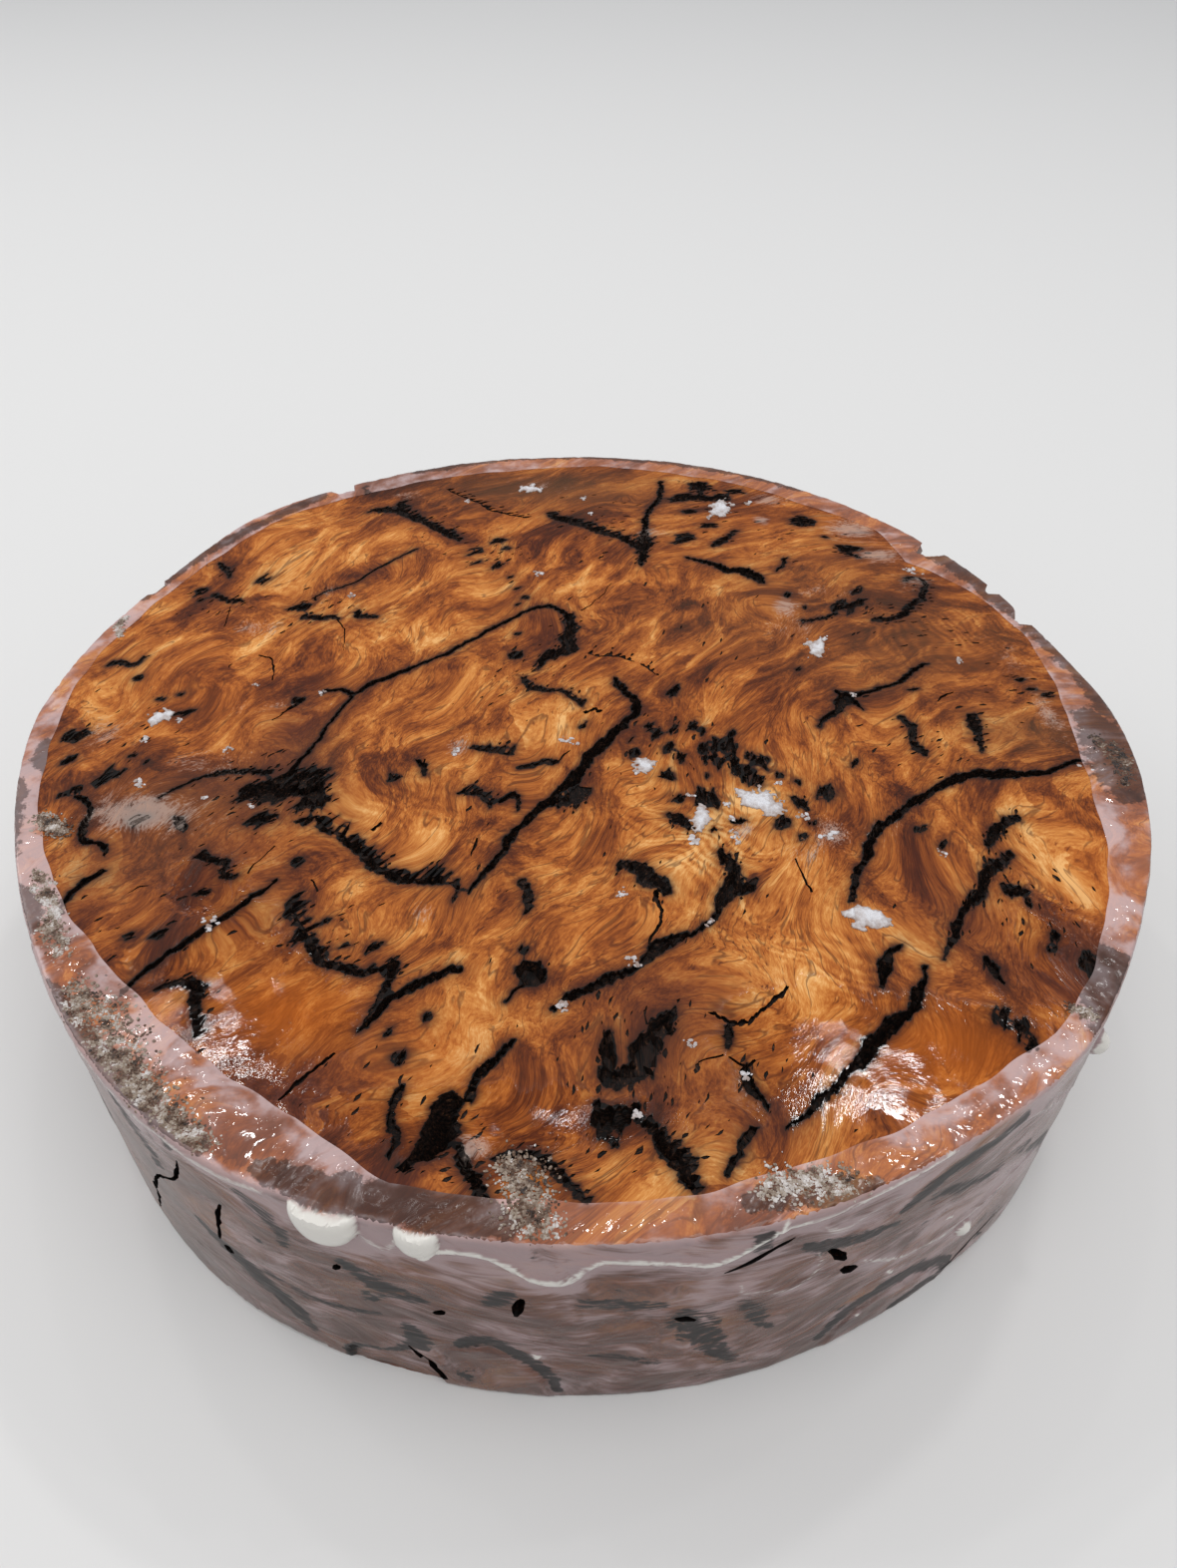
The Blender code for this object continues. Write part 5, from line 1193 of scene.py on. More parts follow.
def dip_radius(degrees):
    """Radius of the wax's edge on the face, with the small waves of its run."""
    degrees = np.asarray(degrees, float) % 360
    turn = np.radians(degrees)
    waves = 0.4 * np.sin(17 * turn + 1) + 0.2 * np.sin(41 * turn + 2.2) + 0.12 * np.sin(67 * turn + 0.4)
    return np.interp(degrees, *np.transpose(DIP_LINE)) + waves


# Pits left by bubbles in the lap: x, y and size, strewn where the wax is thick and lumpy, by the first and
# last angle and how many
PIT_CROWDS = ((205, 262, 46), (292, 330, 34), (330, 362, 14), (262, 292, 12), (60, 130, 8))
PIT_SEED = 52
PIT_REACH = 125.0
draw = np.random.default_rng(PIT_SEED)
lap_pits = []
for first, last, count in PIT_CROWDS:
    for _ in range(count):
        turn = math.radians(draw.uniform(first, last))
        reach = draw.uniform(dip_radius(math.degrees(turn)) + 1.2, PIT_REACH)
        lap_pits.append((reach * math.cos(turn), reach * math.sin(turn), draw.uniform(0.7, 1.7)))

# Places of the side that stand back or proud: by how much, and their outline as angle and height
DENTS = (
    (-0.75, ((249.3, -1), (249.4, 4), (250, 7), (251, 8), (252.5, 8.5), (254, 10), (255, 12), (256.4, 9),
        (257.4, 5), (258.4, -1))),
    (0.3, ((258.6, -1), (257.4, 6), (258, 12), (259.2, 18), (261.5, 21.5), (264, 19.5), (266, 13),
        (267.4, 6), (268, -1))),
    (-0.6, ((235, -1), (236, 1.6), (239, 1.1), (243, 2.0), (247, 1.2), (249, -1))),
    (0.25, ((292, -1), (293.4, 7), (296, 12), (300, 12.5), (303, 9.5), (305, 5), (305.6, -1))),
    (-0.5, ((306, -1), (307, 3), (311, 2.2), (318, 1.4), (322, -1))),
)


def inner_skin(spots):
    """Places of the skin that lies on the wood, from lengths round the wax and up its profile."""
    degrees, profile = side_degrees(spots[:, 0]), spots[:, 1]
    height = np.clip(profile, BACK - TOUCH, FACE + TOUCH)
    inset = np.maximum(profile - WAX_TOP, 0) + np.maximum(-profile, 0)
    wood, wax = (rim_radius(degrees, height, offset) for offset in (HIDDEN + TOUCH, COAT_OUT))
    return round_places(degrees, np.minimum(wood, wax - inset), height)


def lap_relief(places, degrees, on_lap):
    """Swell of the wax: its lumps, rougher on the lap and most where it is thick, and the pits there."""
    rough = 0.35 + 1.1 * arch(degrees, 232, 26) + 0.8 * arch(degrees, 308, 20) + 0.4 * arch(degrees, 345, 20)
    swell = 0.2 * lumps(places, 9.0, 3.1) + 0.09 * lumps(places, 3.6, 7.7)
    swell += on_lap * rough * (0.26 * lumps(places, 5.2, 1.2) + 0.09 * lumps(places, 2.2, 5.2))
    for x, y, size in lap_pits:
        away = np.hypot(places[:, 0] - x, places[:, 1] - y) / size
        near = np.flatnonzero(away < 2)
        away = away[near]
        pit = 0.26 * np.exp(-((away - 1) / 0.3) ** 2) - 0.3 * np.exp(-(away / 0.7) ** 4)
        swell[near] += on_lap[near] * pit
    return swell


def side_relief(swell, spots):
    """The swell with the side's runs, beads and dents, and how creamy and how softly milky it is there."""
    profile = spots[:, 1]
    roll = np.stack([spots[:, 0], np.minimum(profile, WAX_TOP)], 1)
    share = np.clip(WAX_TOP + 0.6 - profile, 0, 1) * (profile > -0.5)
    cream = np.zeros(len(spots))
    soft = np.zeros(len(spots))
    for rise, milkiness, line in RUNS:
        rolled = on_roll(line)
        reach = strokes(roll, [rolled])
        swell = swell + rise * reach ** 0.8 * share
        cream = np.maximum(cream, milkiness * np.clip(reach * 1.6, 0, 1) * share)
        soft = np.maximum(soft, 0.6 * milkiness * strokes(roll, [rolled], 3.2) * share)
    for angle, middle, half, proud, tall in BEADS:
        away = np.hypot((roll[:, 0] - side_spot(angle)) / half, (roll[:, 1] - middle) / tall)
        swell = swell + proud * np.sqrt(np.clip(1 - away ** 2, 0, 1)) * share
        cream = np.maximum(cream, np.clip(6 * (1.1 - away), 0, 1) * share)
        soft = np.maximum(soft, 0.5 * np.clip(1.9 - away, 0, 1) * share)
    for depth, ring in DENTS:
        swell[inside(roll, np.array([(side_spot(turn), height) for turn, height in ring]))] += depth
    return swell, cream, soft


def outer_skin(spots):
    """Places of the wax's outer skin, from lengths round it and up its profile, which goes on below 0 under
    the foot and above the top over the face; with its cream, its soft milk, and the way in from its edge."""
    degrees, profile = side_degrees(spots[:, 0]), spots[:, 1]
    above = profile - WAX_TOP
    lean = np.clip((above + WAX_ROUND) / (2 * WAX_ROUND), 0, 1) * math.pi / 2
    below = np.clip((FOOT_ROUND - profile) / (2 * FOOT_ROUND), 0, 1) * math.pi / 2
    parts = [above > WAX_ROUND, profile < -FOOT_ROUND, profile < FOOT_ROUND]
    inset = np.select(parts, [above, -profile, FOOT_ROUND * (1 - np.cos(below))],
                      WAX_ROUND * (1 - np.cos(lean)))
    height = np.select(parts, [WAX_TOP, 0.0, FOOT_ROUND - FOOT_ROUND * np.sin(below)],
                       np.minimum(profile, WAX_TOP - WAX_ROUND + WAX_ROUND * np.sin(lean)))
    radius = rim_radius(degrees, np.clip(height, BACK, FACE), COAT_OUT) - inset
    on_lap = np.clip(lean / (math.pi / 2), 0, 1)
    swell = lap_relief(round_places(degrees, radius, height), degrees, on_lap)
    swell, cream, soft = side_relief(swell, spots)
    inward = radius - dip_radius(degrees)
    thin = np.clip(inward / LAP_WAY, 0, 1)
    thickness = LAP_THIN + LAP_GAIN * thin ** 0.7
    height = np.where(on_lap > 0.5, np.minimum(height, FACE + thickness), height)
    side_share = np.where(profile < FOOT_ROUND, np.cos(below), np.cos(on_lap * math.pi / 2))
    radius = radius + swell * side_share - SWELL_BACK * side_share
    height = height + swell * np.sin(on_lap * math.pi / 2) * 0.6 * np.minimum(thin * 2.5 + 0.1, 1)
    height = np.where(on_lap > 0.9, np.maximum(height, FACE + 0.05), height)
    height = np.where(profile < -FOOT_ROUND, np.minimum(0.05 * np.abs(swell), 0.1), height)
    places = np.clip(round_places(degrees, radius, height), wax_low + BOX_GAP, wax_high - BOX_GAP)
    return places, cream, soft, inward


# Lengths round the wax, and how far its profile reaches over the face and under the foot at each of them
LEAST_STEP = 0.35
wax_turns = np.unique(np.round(np.concatenate([np.arange(0, AROUND, 1.3), side_turns[1:-1]]), 3))
wax_turns = wax_turns[np.concatenate([[True], np.diff(wax_turns) > LEAST_STEP])]
wax_turns = np.append(wax_turns, AROUND)
angles = side_degrees(wax_turns)
lap_edge = WAX_TOP + rim_radius(angles, FACE, COAT_OUT) - dip_radius(angles)
under_radius = UNDER_LINE + UNDER_WAVE * np.sin(3 * np.radians(angles) + UNDER_TURN)
foot_edge = under_radius - rim_radius(angles, BACK, COAT_OUT)
lap_edge[-1], foot_edge[-1] = lap_edge[0], foot_edge[0]
border = roll_border(wax_turns, foot_edge, lap_edge, np.linspace(foot_edge[0], lap_edge[0], 50)[1:-1])
holes = [crack[0] for crack in side_cracks]

# Grids of points over the wax, closer where it shows: corners, pitch and seed
front_from, front_to = side_spot(178), side_spot(360)
grids = [((front_from, -12), (front_to, WAX_TOP + 17), 1.08, 11),
         ((0.8, -12), (front_from - 1, WAX_TOP + 15), 2.1, 12),
         ((front_to + 1, -12), (AROUND - 0.8, WAX_TOP + 15), 2.1, 13),
         ((0.8, WAX_TOP - 3), (AROUND - 0.8, WAX_TOP + 15), 1.7, 14),
         ((side_spot(200), WAX_TOP - 1), (side_spot(264), WAX_TOP + 15), 0.95, 17),
         ((side_spot(292), WAX_TOP - 1), (side_spot(332), WAX_TOP + 15), 0.95, 18)]
for angle, middle, half, _, tall in BEADS[:2]:
    spot, reach = np.array((side_spot(angle), middle)), np.array((half, tall)) + 1
    grids.append((spot - reach, spot + reach, 0.55, 15))
INNER_GRID = ((3, -9), (AROUND - 3, WAX_TOP + 12), 5.0, 16)


def wax_sheet(fill, margin, clearance):
    """Sheet of wax through points clear of its edges, open at the cracks and holes of the side."""
    top, low = (np.interp(fill[:, 0], wax_turns, edge) for edge in (lap_edge, foot_edge))
    fill = fill[(fill[:, 1] < top - margin) & (fill[:, 1] > low + margin)]
    spots, faces = triangulate(border, holes, fill, clearance)
    return spots, faces[pit_levels(spots, faces, side_cracks)[0] == 0]


spots, faces = wax_sheet(np.vstack([scatter(*grid) for grid in grids]), margin=0.5, clearance=0.3)
places, cream, soft, inward = outer_skin(spots)
degrees, profile = side_degrees(spots[:, 0]), spots[:, 1]

# What is seen through the wax: the side's figure, and on the lap the face's. The bark there as x, y and width
LAP_BARK = (
    ((120, 2, 3), (122.5, -8, 6.5), (123, -16, 7.5), (121, -24, 4)),
    ((97, -68, 3), (101, -74, 6), (100, -82, 6), (96, -88, 3)),
    ((101, 72, 3.6), (108, 61, 5), (113, 51, 4.6), (117.5, 41, 4.4), (121.5, 29, 4), (125, 17, 4),
        (127, 4, 4)),
    ((-76, 103, 2), (-90, 89, 1.4), (-104, 71, 1.6), (-115, 50, 1.2)),
    ((-50, 117, 1.4), (-20, 126, 1.6), (10, 127, 2), (44, 119, 2), (66, 108, 2)),
    ((-124, -22, 3), (-123, -32, 4), (-119, -44, 3)),
    ((-99, -77, 2.4), (-92.5, -86, 4), (-84, -94.5, 4.6), (-74, -103, 3.8), (-64, -109, 2.4)),
    ((-52, -113, 2), (-42, -117, 3.4), (-30, -119, 4.4), (-20, -120, 5), (-12, -123, 3)),
    ((28, -119, 2), (38, -117, 3.4), (48, -117, 2)),
    ((96, 74, 2), (103.9, 66.5, 3.4), (109.6, 57.5, 3.2), (114.5, 46.5, 2.4)),
    ((-122, -7, 1.4), (-121, -13, 2.4), (-118, -17, 1.4)),
    ((-119, 14, 1.0), (-118, 20, 2.0), (-116, 25, 1.0)),
    ((-114, -51, 1.4), (-109, -57, 2.6), (-107, -62, 1.6)),
    ((104, -70, 2), (101, -75, 4), (96, -80, 3)),
)
# Where the lap is pale at its edge: angle, reach and strength
PALE_ARCS = ((8, 26, 0.5), (335, 26, 0.5), (229, 28, 0.6), (305, 26, 0.4), (90, 60, 0.3), (150, 40, 0.3),
    (182, 16, 0.9), (206, 9, 0.9))
on_face = face_figure(*places[:, :2].T, bark_distance(places[:, :2], face_pits))
on_side = side_figure(spots[:, 0], np.minimum(profile, WAX_TOP))
blotch = lumps(places * (1, 1, 0.7), 12.0, 5.5) + 0.5 * lumps(places, 5.0, 2.5)
dark = np.clip((blotch - 0.42) * 2.0, 0, 0.7)
for darkness, line in side_bark:
    streak = np.minimum(1.5 * strokes(spots, [on_roll(line)], 1.4), 1)
    dark = np.maximum(dark, (0.3 + 0.7 * darkness) * streak)
lap_dark = np.minimum(1.5 * strokes(places[:, :2], LAP_BARK, 1.5), 1)
top = np.flatnonzero(profile > WAX_TOP)
for outline, _, _ in face_pits:
    near = top[boxed(places[top, :2], outline.min(0), outline.max(0))]
    lap_dark[near[inside(places[near, :2], outline)]] = 0.9
on_side["bark"], on_face["bark"] = dark, lap_dark

# How milky the wax is, on the side and on the lap, with a painted highlight along the rounded rim
cloudy = lumps(places, 14.0, 9.4) + 0.5 * lumps(places, 5.0, 0.4)
skirt = 0.4 * np.clip((profile - 46) / 16, 0, 1) * (arch(degrees, 245, 24) + 0.6 * arch(degrees, 285, 36))
veil = 0.46 + 0.45 * cloudy + skirt
veil += 0.2 * arch(degrees, 308, 12) - 0.12 * arch(degrees, 228, 12)
pale = sum(strength * arch(degrees, middle, half) for middle, half, strength in PALE_ARCS)
lap_veil = pale * np.exp(-((inward - 2.4) / 3.4) ** 2) * (0.75 + 0.9 * cloudy)
lap_veil = lap_veil + 0.16 + 0.12 * arch(degrees, 330, 50)
lap_veil += 0.3 * np.exp(-(inward / 0.7) ** 2) + 0.5 * arch(degrees, 226, 24) * (0.6 + 0.7 * cloudy)
# Painted highlight: a pale line along the rounded edge of the rim, strongest at the front left, added to the
# milk
painted_rim_highlight = np.exp(-((profile - WAX_TOP) / 1.4) ** 2)
painted_rim_highlight = painted_rim_highlight * (0.2 + 0.7 * arch(degrees, 228, 22) + 0.3 * lumps(places, 8.0, 1.4))
lap = np.clip((profile - WAX_TOP + 1.5) / 2, 0, 1)
of_lap, of_side = figure_layers(on_face, faces), figure_layers(on_side, faces)
of_lap["coat"], of_side["coat"] = (np.column_stack([np.clip(milk, 0, 1), lap, cream])[faces]
                                   for milk in (lap_veil + painted_rim_highlight, veil + soft + painted_rim_highlight))
lap_faces = profile[faces].mean(1) > WAX_TOP
layers = {key: np.where(lap_faces[:, None, None], of_lap[key], of_side[key]) for key in of_lap}

# The skin on the wood, and the strips that close the wax along its edges, cracks and holes
PLAIN = {"grain": (*SIDE_GRAIN, 0), "zones": (0, 0.5, 0), "looks": (0.3, 0, 0), "edges": (0, 0.3, 0),
         "coat": (0.9, 1, 0)}
IN_CRACK = {**PLAIN, "edges": (0, 1, 0), "coat": (0, 0, 0)}


def plain_sheet(places, faces, values):
    """Sheet whose corners all carry the same."""
    size = (len(faces), 3, 1)
    return places, faces, {key: np.tile(np.array(value, float), size) for key, value in values.items()}


inner_spots, inner_faces = wax_sheet(scatter(*INNER_GRID), margin=1.5, clearance=1.0)
sheets = [(places, faces, layers), plain_sheet(inner_skin(inner_spots), inner_faces[:, ::-1], PLAIN)]
strips = [(np.column_stack([wax_turns, foot_edge])[::-1], PLAIN),
          (np.column_stack([wax_turns, lap_edge]), PLAIN)]
strips += [(np.vstack([hole, hole[:1]]), IN_CRACK) for hole in holes]
for loop, values in strips:
    count = len(loop)
    index = np.arange(count - 1)
    strip = np.vstack([np.column_stack([index, index + 1, index + 1 + count]),
                       np.column_stack([index, index + 1 + count, index + count])])
    sheets.append(plain_sheet(np.vstack([outer_skin(loop)[0], inner_skin(loop)]), strip, values))

LAP_MILK, LAP_MILK_THIN = colour(208, 186, 186), colour(178, 124, 104)
SIDE_MILK, SIDE_MILK_THIN = colour(176, 152, 153), colour(128, 88, 80)
CREAM = colour(218, 214, 206)
SOAKED = colour(60, 34, 26)


def paint_wax():
    """Glossy wax with the burl under it, milky where it is thick, and pale along the rim with a painted
    highlight.
    """
    material, shader, wire = new_material("sealing_wax")
    shade, grain, masks = burl(wire)
    # The first number of the coat is the wax's milkiness with the painted highlight along the rim added in
    milk, lap, cream = wire.layer("coat").split()
    shade = shade.tint(SOAKED, (1 - lap) * 0.6)
    shade = shade.tint(LAP_MILK_THIN, lap * 0.28)
    place = wire.node("TexCoord", {}, {}, "Object")
    soot = grain.noise((1 / 4.4, 1 / 1.1, 0.3), 2.0, 0.7, (21, 13, 2))
    soot = soot + (place.noise((420, 420, 420), 3.0, 0.72) - soot) * lap
    wisp = grain.noise((1 / 8, 1 / 0.8, 0.2), 2.0, 0.7, (19, 3, 1))
    wisp = wisp + (place.noise((230, 230, 230), 3.0, 0.66, (3, 5, 9)) - wisp) * lap
    cloud = grain.noise((1 / 10, 1 / 5, 0.2), 2.0, 0.62, (9, 30, 1)) - 0.5
    bark = masks["bark"]
    bark = (bark * 1.32 + (soot - 0.5) * 2.4).rise(0.5, 0.85) * bark.rise(0.04, 0.3) * (1 - lap * 0.3)
    thick = (milk + cloud * 1.4 + (wisp - 0.5) * 0.9).rise(0.15, 1.0)
    milky = thick.ramp((0.15, SIDE_MILK_THIN), (0.9, SIDE_MILK))
    milky = milky.tint(thick.ramp((0.15, LAP_MILK_THIN), (0.85, LAP_MILK)), lap)
    shade = shade.tint(milky, thick * (0.62 + (1 - lap) * 0.08))
    shade = shade.tint(BARK_DARK, bark * (0.99 - thick * 0.08))
    shade = shade.tint(CREAM, (cream * 1.3 + (wisp - 0.5) * 1.4 - 0.1).rise(0.3, 1.0))
    pebble = grain.noise((1 / 1.5, 1 / 1.2, 1.0), 1.0, 0.6, (50, 3, 8))
    wave = grain.noise((1 / 4, 1 / 3.2, 1.0), 1.0, 0.5, (20, 33, 8))
    height = pebble * 0.09 * (1 - cream) + wave * (0.3 + lap * 0.2)
    bump = wire.node("Bump", {}, {"Strength": 1.0, "Distance": 0.0006, "Height": height})
    rough = 0.07 + bark * 0.2 + (1 - lap) * 0.16 + cloud * 0.06
    wire.fill(shader, {"Base Color": shade, "Roughness": rough, "Normal": bump, "Specular IOR Level": 0.34})
    return material


wax_seal = sheets_piece("sealing_wax_coat", sheets)
wax_seal.data.materials.append(paint_wax())
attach(wax_seal, "root")
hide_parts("wax_seal")

# Flakes and crumbs of wax
# Bits of hard white wax left on the sawn face, ragged and snow-like, each stuck down where it fell.

# Middle, width and height on the face, turn in degrees, and how lacy the flake is
FLAKES = ((15.0, -14.7, 4.6, 5.4, 60, 0.42), (39.6, -26.0, 12.0, 6.5, -35, 0.42),
          (26.3, -32.0, 8.4, 3.8, 75, 0.42), (57.5, -59.5, 9.0, 5.5, -25, 0.6),
          (42.0, 97.0, 9.0, 6.0, 70, 0.42), (60.3, 29.0, 7.0, 4.6, 80, 0.6),
          (-14.3, 108.0, 7.0, 4.0, 10, 0.8), (-98.7, 2.0, 6.4, 4.8, 20, 0.95))
FLAKE_SPREAD = 1.1  # the ragged edge runs out so far past the size given
FLAKE_HEIGHT, FLAKE_EDGE = 0.75, 0.04
FLAKE_PITCH = 0.28
FLAKE_SUNK = 0.05  # how deep its underside is pressed into the face
FLAKE_CUT = 0.06  # share of its body below which nothing of it is left
FLAKE_SEED = 40


def tinted_piece(name, places, faces, tints):
    """Mesh object with a paleness on each of its points."""
    piece = new_piece(name, places, faces)
    piece.data.attributes.new("tint", "FLOAT", "POINT").data.foreach_set("value", tints.astype(np.float32))
    return piece


def ragged_sheet(name, x, y, wide, tall, turn, lacy, seed):
    """Thin ragged patch with a lacy edge, thickest in its middle and closed underneath."""
    spots = scatter((-0.75 * wide, -0.75 * tall), (0.75 * wide, 0.75 * tall), FLAKE_PITCH, seed)
    spots, faces = join_points(spots, [])
    flat = np.column_stack([spots, np.zeros(len(spots))])
    coarse, fine = lumps(flat, 0.3 * math.sqrt(wide * tall), seed), lumps(flat, 0.9, seed + 0.7)
    crisp = lumps(flat, 0.45, seed + 1.9)
    body = 1 - np.hypot(spots[:, 0] / (wide / 2), spots[:, 1] / (tall / 2))
    body = body + lacy * coarse * 1.3 + 0.35 * fine
    thick = FLAKE_HEIGHT * np.clip(body * 1.5, 0, 1) * (0.55 + 0.3 * fine + 0.35 * crisp) + FLAKE_EDGE
    faces = faces[body[faces].min(1) > FLAKE_CUT]
    count = len(spots)
    sides = set(three_edges(faces))
    walls = edge_walls([(a, b) for a, b in sides if (b, a) not in sides], count)
    placed = turned(spots, turn) + (x, y)
    places = np.vstack([np.column_stack([placed, FACE + np.maximum(thick, FLAKE_EDGE)]),
                        np.column_stack([placed, np.full(count, FACE - FLAKE_SUNK)])])
    used, faces = without_spare(places, np.vstack([faces, faces[:, ::-1] + count, walls]))
    tints = np.tile(np.clip(0.25 + body * 0.9 + 0.3 * crisp, 0, 1), 2)[used]
    piece = tinted_piece(name, places[used], faces, tints)
    piece.data.shade_smooth()
    return piece


def paint_crumbly(name, fine, rough, spread, bumpy, gloss, stops):
    """Hard crumbly stuff from dark to pale, mottled by a fine cloud."""
    material, shader, wire = new_material(name)
    cloud = wire.node("TexCoord", {}, {}, "Object").noise((fine, fine, fine), 3.0, rough)
    level = wire.layer("tint", "Fac") + (cloud - 0.5) * spread
    bump = wire.node("Bump", {}, {"Strength": bumpy, "Distance": 0.0003, "Height": cloud})
    wire.fill(shader, {"Base Color": level.ramp(*stops), "Normal": bump, "Roughness": gloss})
    return material


white_wax = paint_crumbly("white_wax", 900, 0.6, 0.5, 0.8, 0.45, (
    (0.0, colour(120, 84, 62)), (0.4, colour(164, 150, 144)), (1.0, colour(212, 211, 214))))
for number, (x, y, wide, tall, turn, lacy) in enumerate(FLAKES):
    name = f"wax_flake_{number + 1}"
    flake = ragged_sheet("ragged_" + name, x, y, wide * FLAKE_SPREAD, tall * FLAKE_SPREAD, math.radians(turn),
                         lacy, FLAKE_SEED + number)
    flake.data.materials.append(white_wax)
    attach(flake, "root")
    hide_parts(name)

# Smaller bits of the same wax: x, y, size
CRUMBS = ((24.3, -38.3, 2.6), (33.3, -37.3, 3.4), (25, -24.7, 1.6), (33, -31.3, 1.6), (32.3, -27.3, 1.4),
    (-2, -6, 2.2), (-27.7, -10, 2.4), (26.3, -60.7, 1.6), (11.3, -70.7, 2.2), (-3.3, -80.3, 2.8),
    (20.3, -88.7, 1.6), (29.9, -95.2, 1.5), (10, -102.7, 2.2), (8.7, -53, 2.0), (53.7, -36.7, 2.8),
    (66.3, 10.3, 1.4), (76.3, -41.7, 1.6), (95, 24, 2.0), (-33, 101, 1.8), (1.5, 102.5, 1.8), (3.5, 94, 1.4),
    (-11, 62.5, 2.0), (-100, -5.9, 1.8), (-80, -9.5, 2.2), (-78.3, 14.3, 1.6), (-61.7, 11, 1.6),
    (-97, -21, 2.6), (-71.2, -27.3, 1.5), (-82, -25, 1.4), (-73, -60.7, 2.6), (-60.5, 52.3, 1.6),
    (90.5, 64.5, 3.2), (116.7, -14.7, 3.4), (48.5, -30.6, 2.0), (44.4, -20.4, 1.8), (12.8, -16.6, 1.6),
    (38, 92, 2.4), (50.5, 99.4, 2.6), (-93.4, 0.6, 1.8), (63, 33, 1.8))
CRUMB_PLACE_SEED, CRUMB_SHAPE_SEED = 61, 62


def crumb_cluster(name, grains, seed, finer):
    """Scatter of irregular crumbs as one mesh, from places, half sizes, turns and tints."""
    draw = np.random.default_rng(seed)
    work = bmesh.new()
    bmesh.ops.create_icosphere(work, subdivisions=finer, radius=1.0)
    shape = np.array([vertex.co[:] for vertex in work.verts])
    shell = np.array([[vertex.index for vertex in face.verts] for face in work.faces])
    work.free()
    places, faces, tints = [], [], []
    for number, (x, y, z, half_x, half_y, half_z, turn, tint) in enumerate(grains):
        rough = shape * (1 + 0.32 * draw.uniform(-1, 1, (len(shape), 1))) * (half_x, half_y, half_z)
        rough[:, :2] = turned(rough[:, :2], turn)
        faces.append(shell + number * len(shape))
        places.append(rough + (x, y, z))
        tints.append(np.full(len(shape), tint))
    return tinted_piece(name, np.vstack(places), np.vstack(faces), np.concatenate(tints))


grains = []
draw = np.random.default_rng(CRUMB_PLACE_SEED)
for x, y, size in CRUMBS:
    for _ in range(int(3 + size * 3)):
        spot = draw.normal(0, 0.3 * size, 2) + (x, y)
        half = draw.uniform(0.14, 0.42) * min(1.3, 0.5 + 0.3 * size)
        half_x = half * draw.uniform(0.8, 1.8)
        grains.append((*spot, FACE + half * 0.2, half_x, half, half * 0.5, draw.uniform(0, 3.14),
                       draw.uniform(0.2, 0.9)))
crumbs = crumb_cluster("wax_crumbs", grains, CRUMB_SHAPE_SEED, 2)
crumbs.data.materials.append(white_wax)
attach(crumbs, "root")

# Wax-soaked bark
# Where bark reached the rim it drank wax, and dried as a grey-brown crust of crumbs in and on the coat.

# Strokes of crust: how pale it is, and x, y and width along it
CRUSTS = {
    "crust_front_left": (0.5, ((-94, -76, 4), (-90, -82, 9), (-86, -86, 11), (-80, -94, 9), (-74, -101, 9),
        (-68, -106, 7), (-61, -109, 4))),
    "crust_left": (0.6, ((-98, -69, 3.6), (-103, -62, 5), (-104, -57, 2.4), (-108, -52, 4.6),
        (-111, -47, 2))),
    "crust_far_left": (0.5, ((-109, -36, 3), (-112.7, -33.3, 6), (-116, -31, 3))),
    "crust_back_left": (0.6, ((-117, 34, 1.6), (-118, 38, 2.8), (-117, 42, 1.2))),
    "crust_front": (0.48, ((-12, -112, 4), (-9, -115, 9), (-8, -120, 9), (-6, -124, 7))),
    "crust_front_right": (0.62, ((30, -118, 3), (34, -116, 6), (40, -116, 7), (45, -118, 6),
        (48, -121, 3))),
    "crust_right": (0.4, ((91, -81, 2), (93, -82.5, 3.4), (95, -84, 1.6))),
    "crust_dark_right": (0.12, ((119, -6, 3), (122, -10, 5), (123, -16, 5), (121, -22, 3))),
}
CRUST_OUT = COAT - 0.3  # outline that the crumbs keep inside, and the height they keep below
CRUST_TOP = 64.7
CRUST_SUNK = 0.05  # how far their middles lie below the wax
CRUST_PLACE_SEED, CRUST_SHAPE_SEED = 820, 840


def on_wax(spot):
    """Height of the wax lap, which rounds down at the rim, and the way left to the rim."""
    degrees = math.degrees(math.atan2(spot[1], spot[0]))
    reach = np.hypot(*spot)
    room = rim_radius(degrees, FACE, CRUST_OUT) - reach
    lap_height = FACE + 0.15 + 0.5 * np.clip((reach - dip_radius(degrees)) / 4, 0, 1)
    return float(lap_height - 0.6 * np.clip(1.4 - room, 0, 3) ** 1.5), room


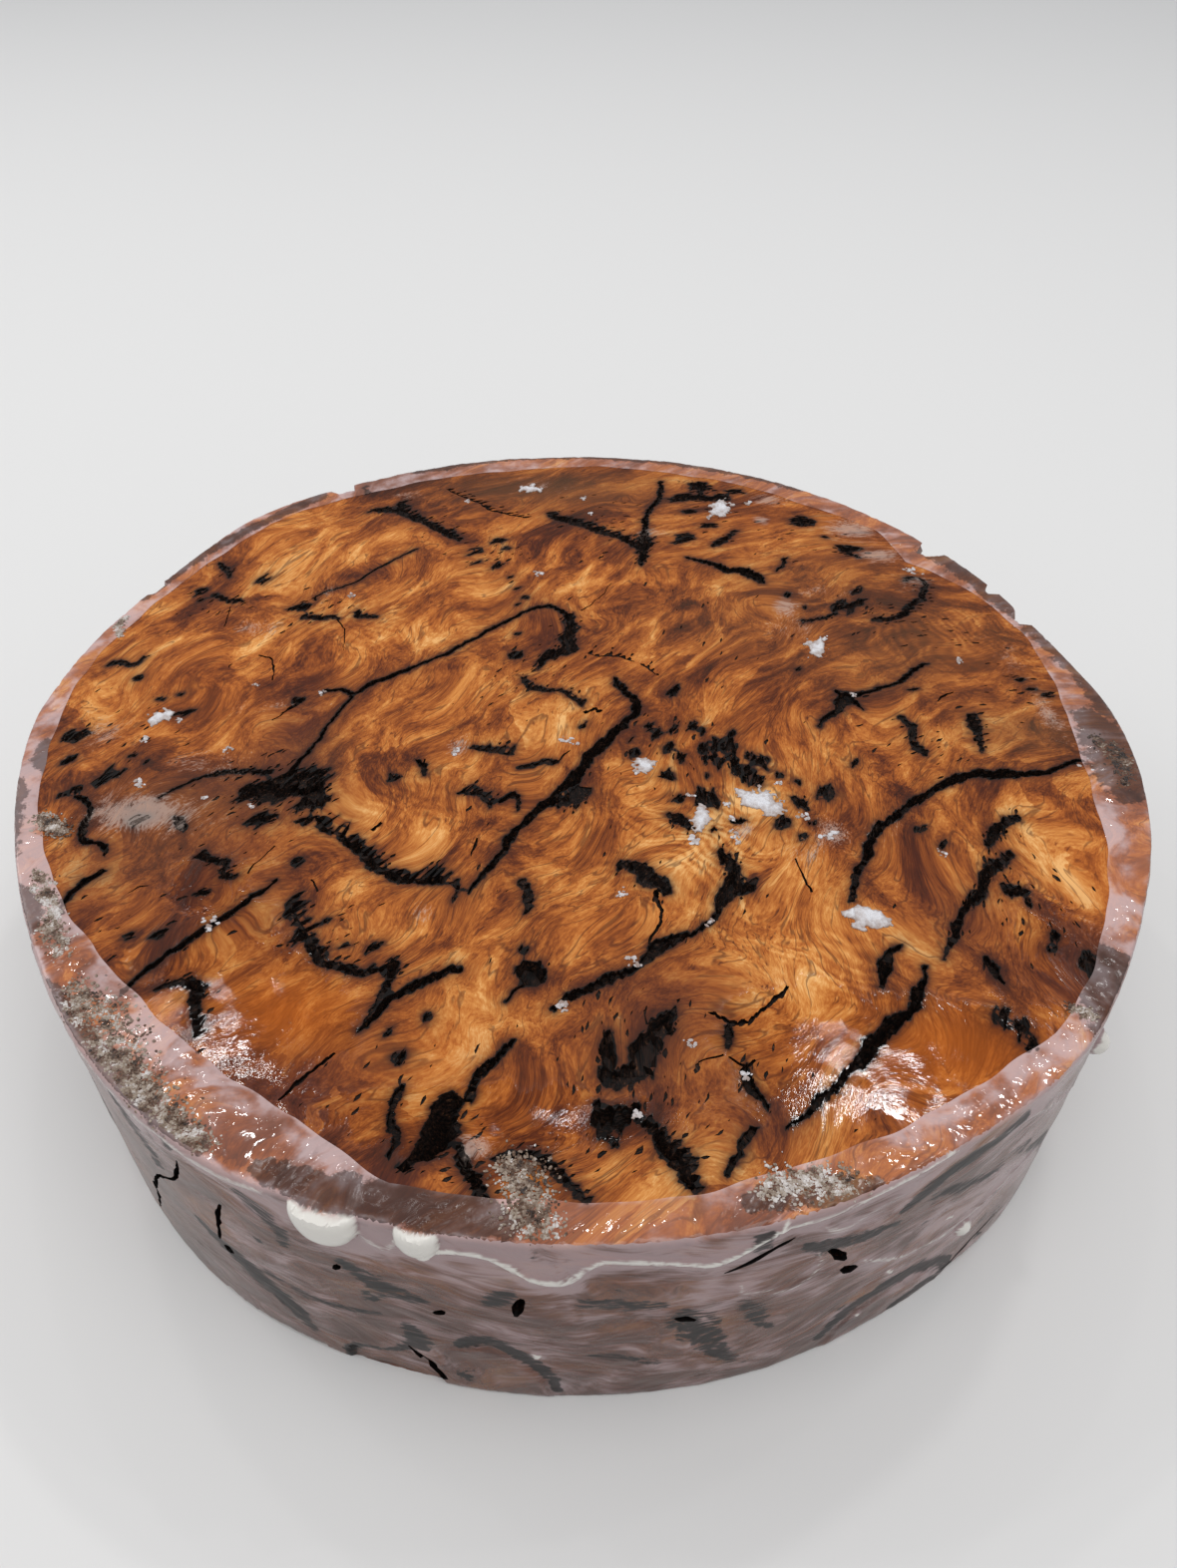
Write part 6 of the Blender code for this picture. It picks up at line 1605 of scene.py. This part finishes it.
soaked_bark = paint_crumbly("wax_soaked_bark", 1300, 0.65, 0.7, 0.9, 0.4, (
    (0.0, colour(34, 22, 16)), (0.3, colour(92, 66, 48)), (0.6, colour(150, 134, 118)),
    (1.0, colour(206, 200, 196))))
for number, (name, (pale, line)) in enumerate(CRUSTS.items()):
    draw = np.random.default_rng(CRUST_PLACE_SEED + number)
    grains = []
    for x, y, width in smooth_line(line, 0.5):
        for _ in range(int(4 + width * 4.6)):
            spot = np.array((x, y)) + draw.normal(0, 0.25 * width, 2)
            height, room = on_wax(spot)
            if room < 0.3:
                continue
            half = draw.uniform(0.1, 0.34)
            height = height - CRUST_SUNK
            half_z = min(half * draw.uniform(0.5, 1.0), CRUST_TOP - height)
            mottle = noise.noise(Vector((*spot, number)) / 2.2) * 0.7
            grains.append((*spot, height, half * draw.uniform(0.8, 1.8), half, half_z, draw.uniform(0, 3.14),
                           np.clip(draw.normal(pale, 0.12) + mottle, 0, 1)))
    crust = crumb_cluster(name, grains, CRUST_SHAPE_SEED + number, 1)
    crust.data.materials.append(soaked_bark)
    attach(crust, "root")

# Floor and light
# A plain pale floor under soft light from overhead and from the left. A few small lamps behind the blank
# put the glints on its wet wax.

FLOOR = 3.0
floor_mesh = bpy.data.meshes.new("floor")
floor_mesh.from_pydata([(-FLOOR, -FLOOR, 0), (FLOOR, -FLOOR, 0), (FLOOR, FLOOR, 0), (-FLOOR, FLOOR, 0)], [],
                       [(0, 1, 2, 3)])
floor = bpy.data.objects.new("floor", floor_mesh)
bpy.context.scene.collection.objects.link(floor)
material, shader, wire = new_material("pale_floor")
wire.fill(shader, {"Base Color": colour(220, 219, 217), "Roughness": 0.7})
floor_mesh.materials.append(material)

world = bpy.data.worlds.new("room")
world.use_nodes = True
background = world.node_tree.nodes["Background"]
Wire(world.node_tree).fill(background, {"Color": colour(236, 238, 242), "Strength": 0.68})
bpy.context.scene.world = world

# Lights: place, what they look at, width, height and power
LIGHTS = {"lamp_right": ((0.44, 0.69, 1.40), (0.05, -0.10, 0.06), 0.11, 0.06, 2.0),
          "lamp_left": ((-0.51, 0.74, 1.35), (-0.06, -0.09, 0.06), 0.07, 0.04, 1.0),
          "lamp_middle": ((-0.05, 0.80, 1.40), (0, 0, 0.06), 0.05, 0.03, 0.45),
          "lamp_high": ((0.62, 0.45, 1.45), (0, 0, 0.06), 0.05, 0.03, 0.45),
          "lamp_far_left": ((-0.75, 0.45, 1.35), (0, 0, 0.06), 0.05, 0.03, 0.45),
          "overhead": ((0.1, -0.35, 1.5), (0, 0, 0.05), 1.2, 1.0, 9.0),
          "window": ((-1.1, 0.5, 0.8), (0, 0, 0.05), 0.7, 0.7, 3.0)}
for name, (place, target, width, height, power) in LIGHTS.items():
    lamp = bpy.data.lights.new(name, "AREA")
    lamp.shape = "RECTANGLE"
    lamp.size, lamp.size_y, lamp.energy = width, height, power
    light = bpy.data.objects.new(name, lamp)
    light.location = place
    light.rotation_euler = (Vector(place) - Vector(target)).to_track_quat("Z", "Y").to_euler()
    bpy.context.scene.collection.objects.link(light)
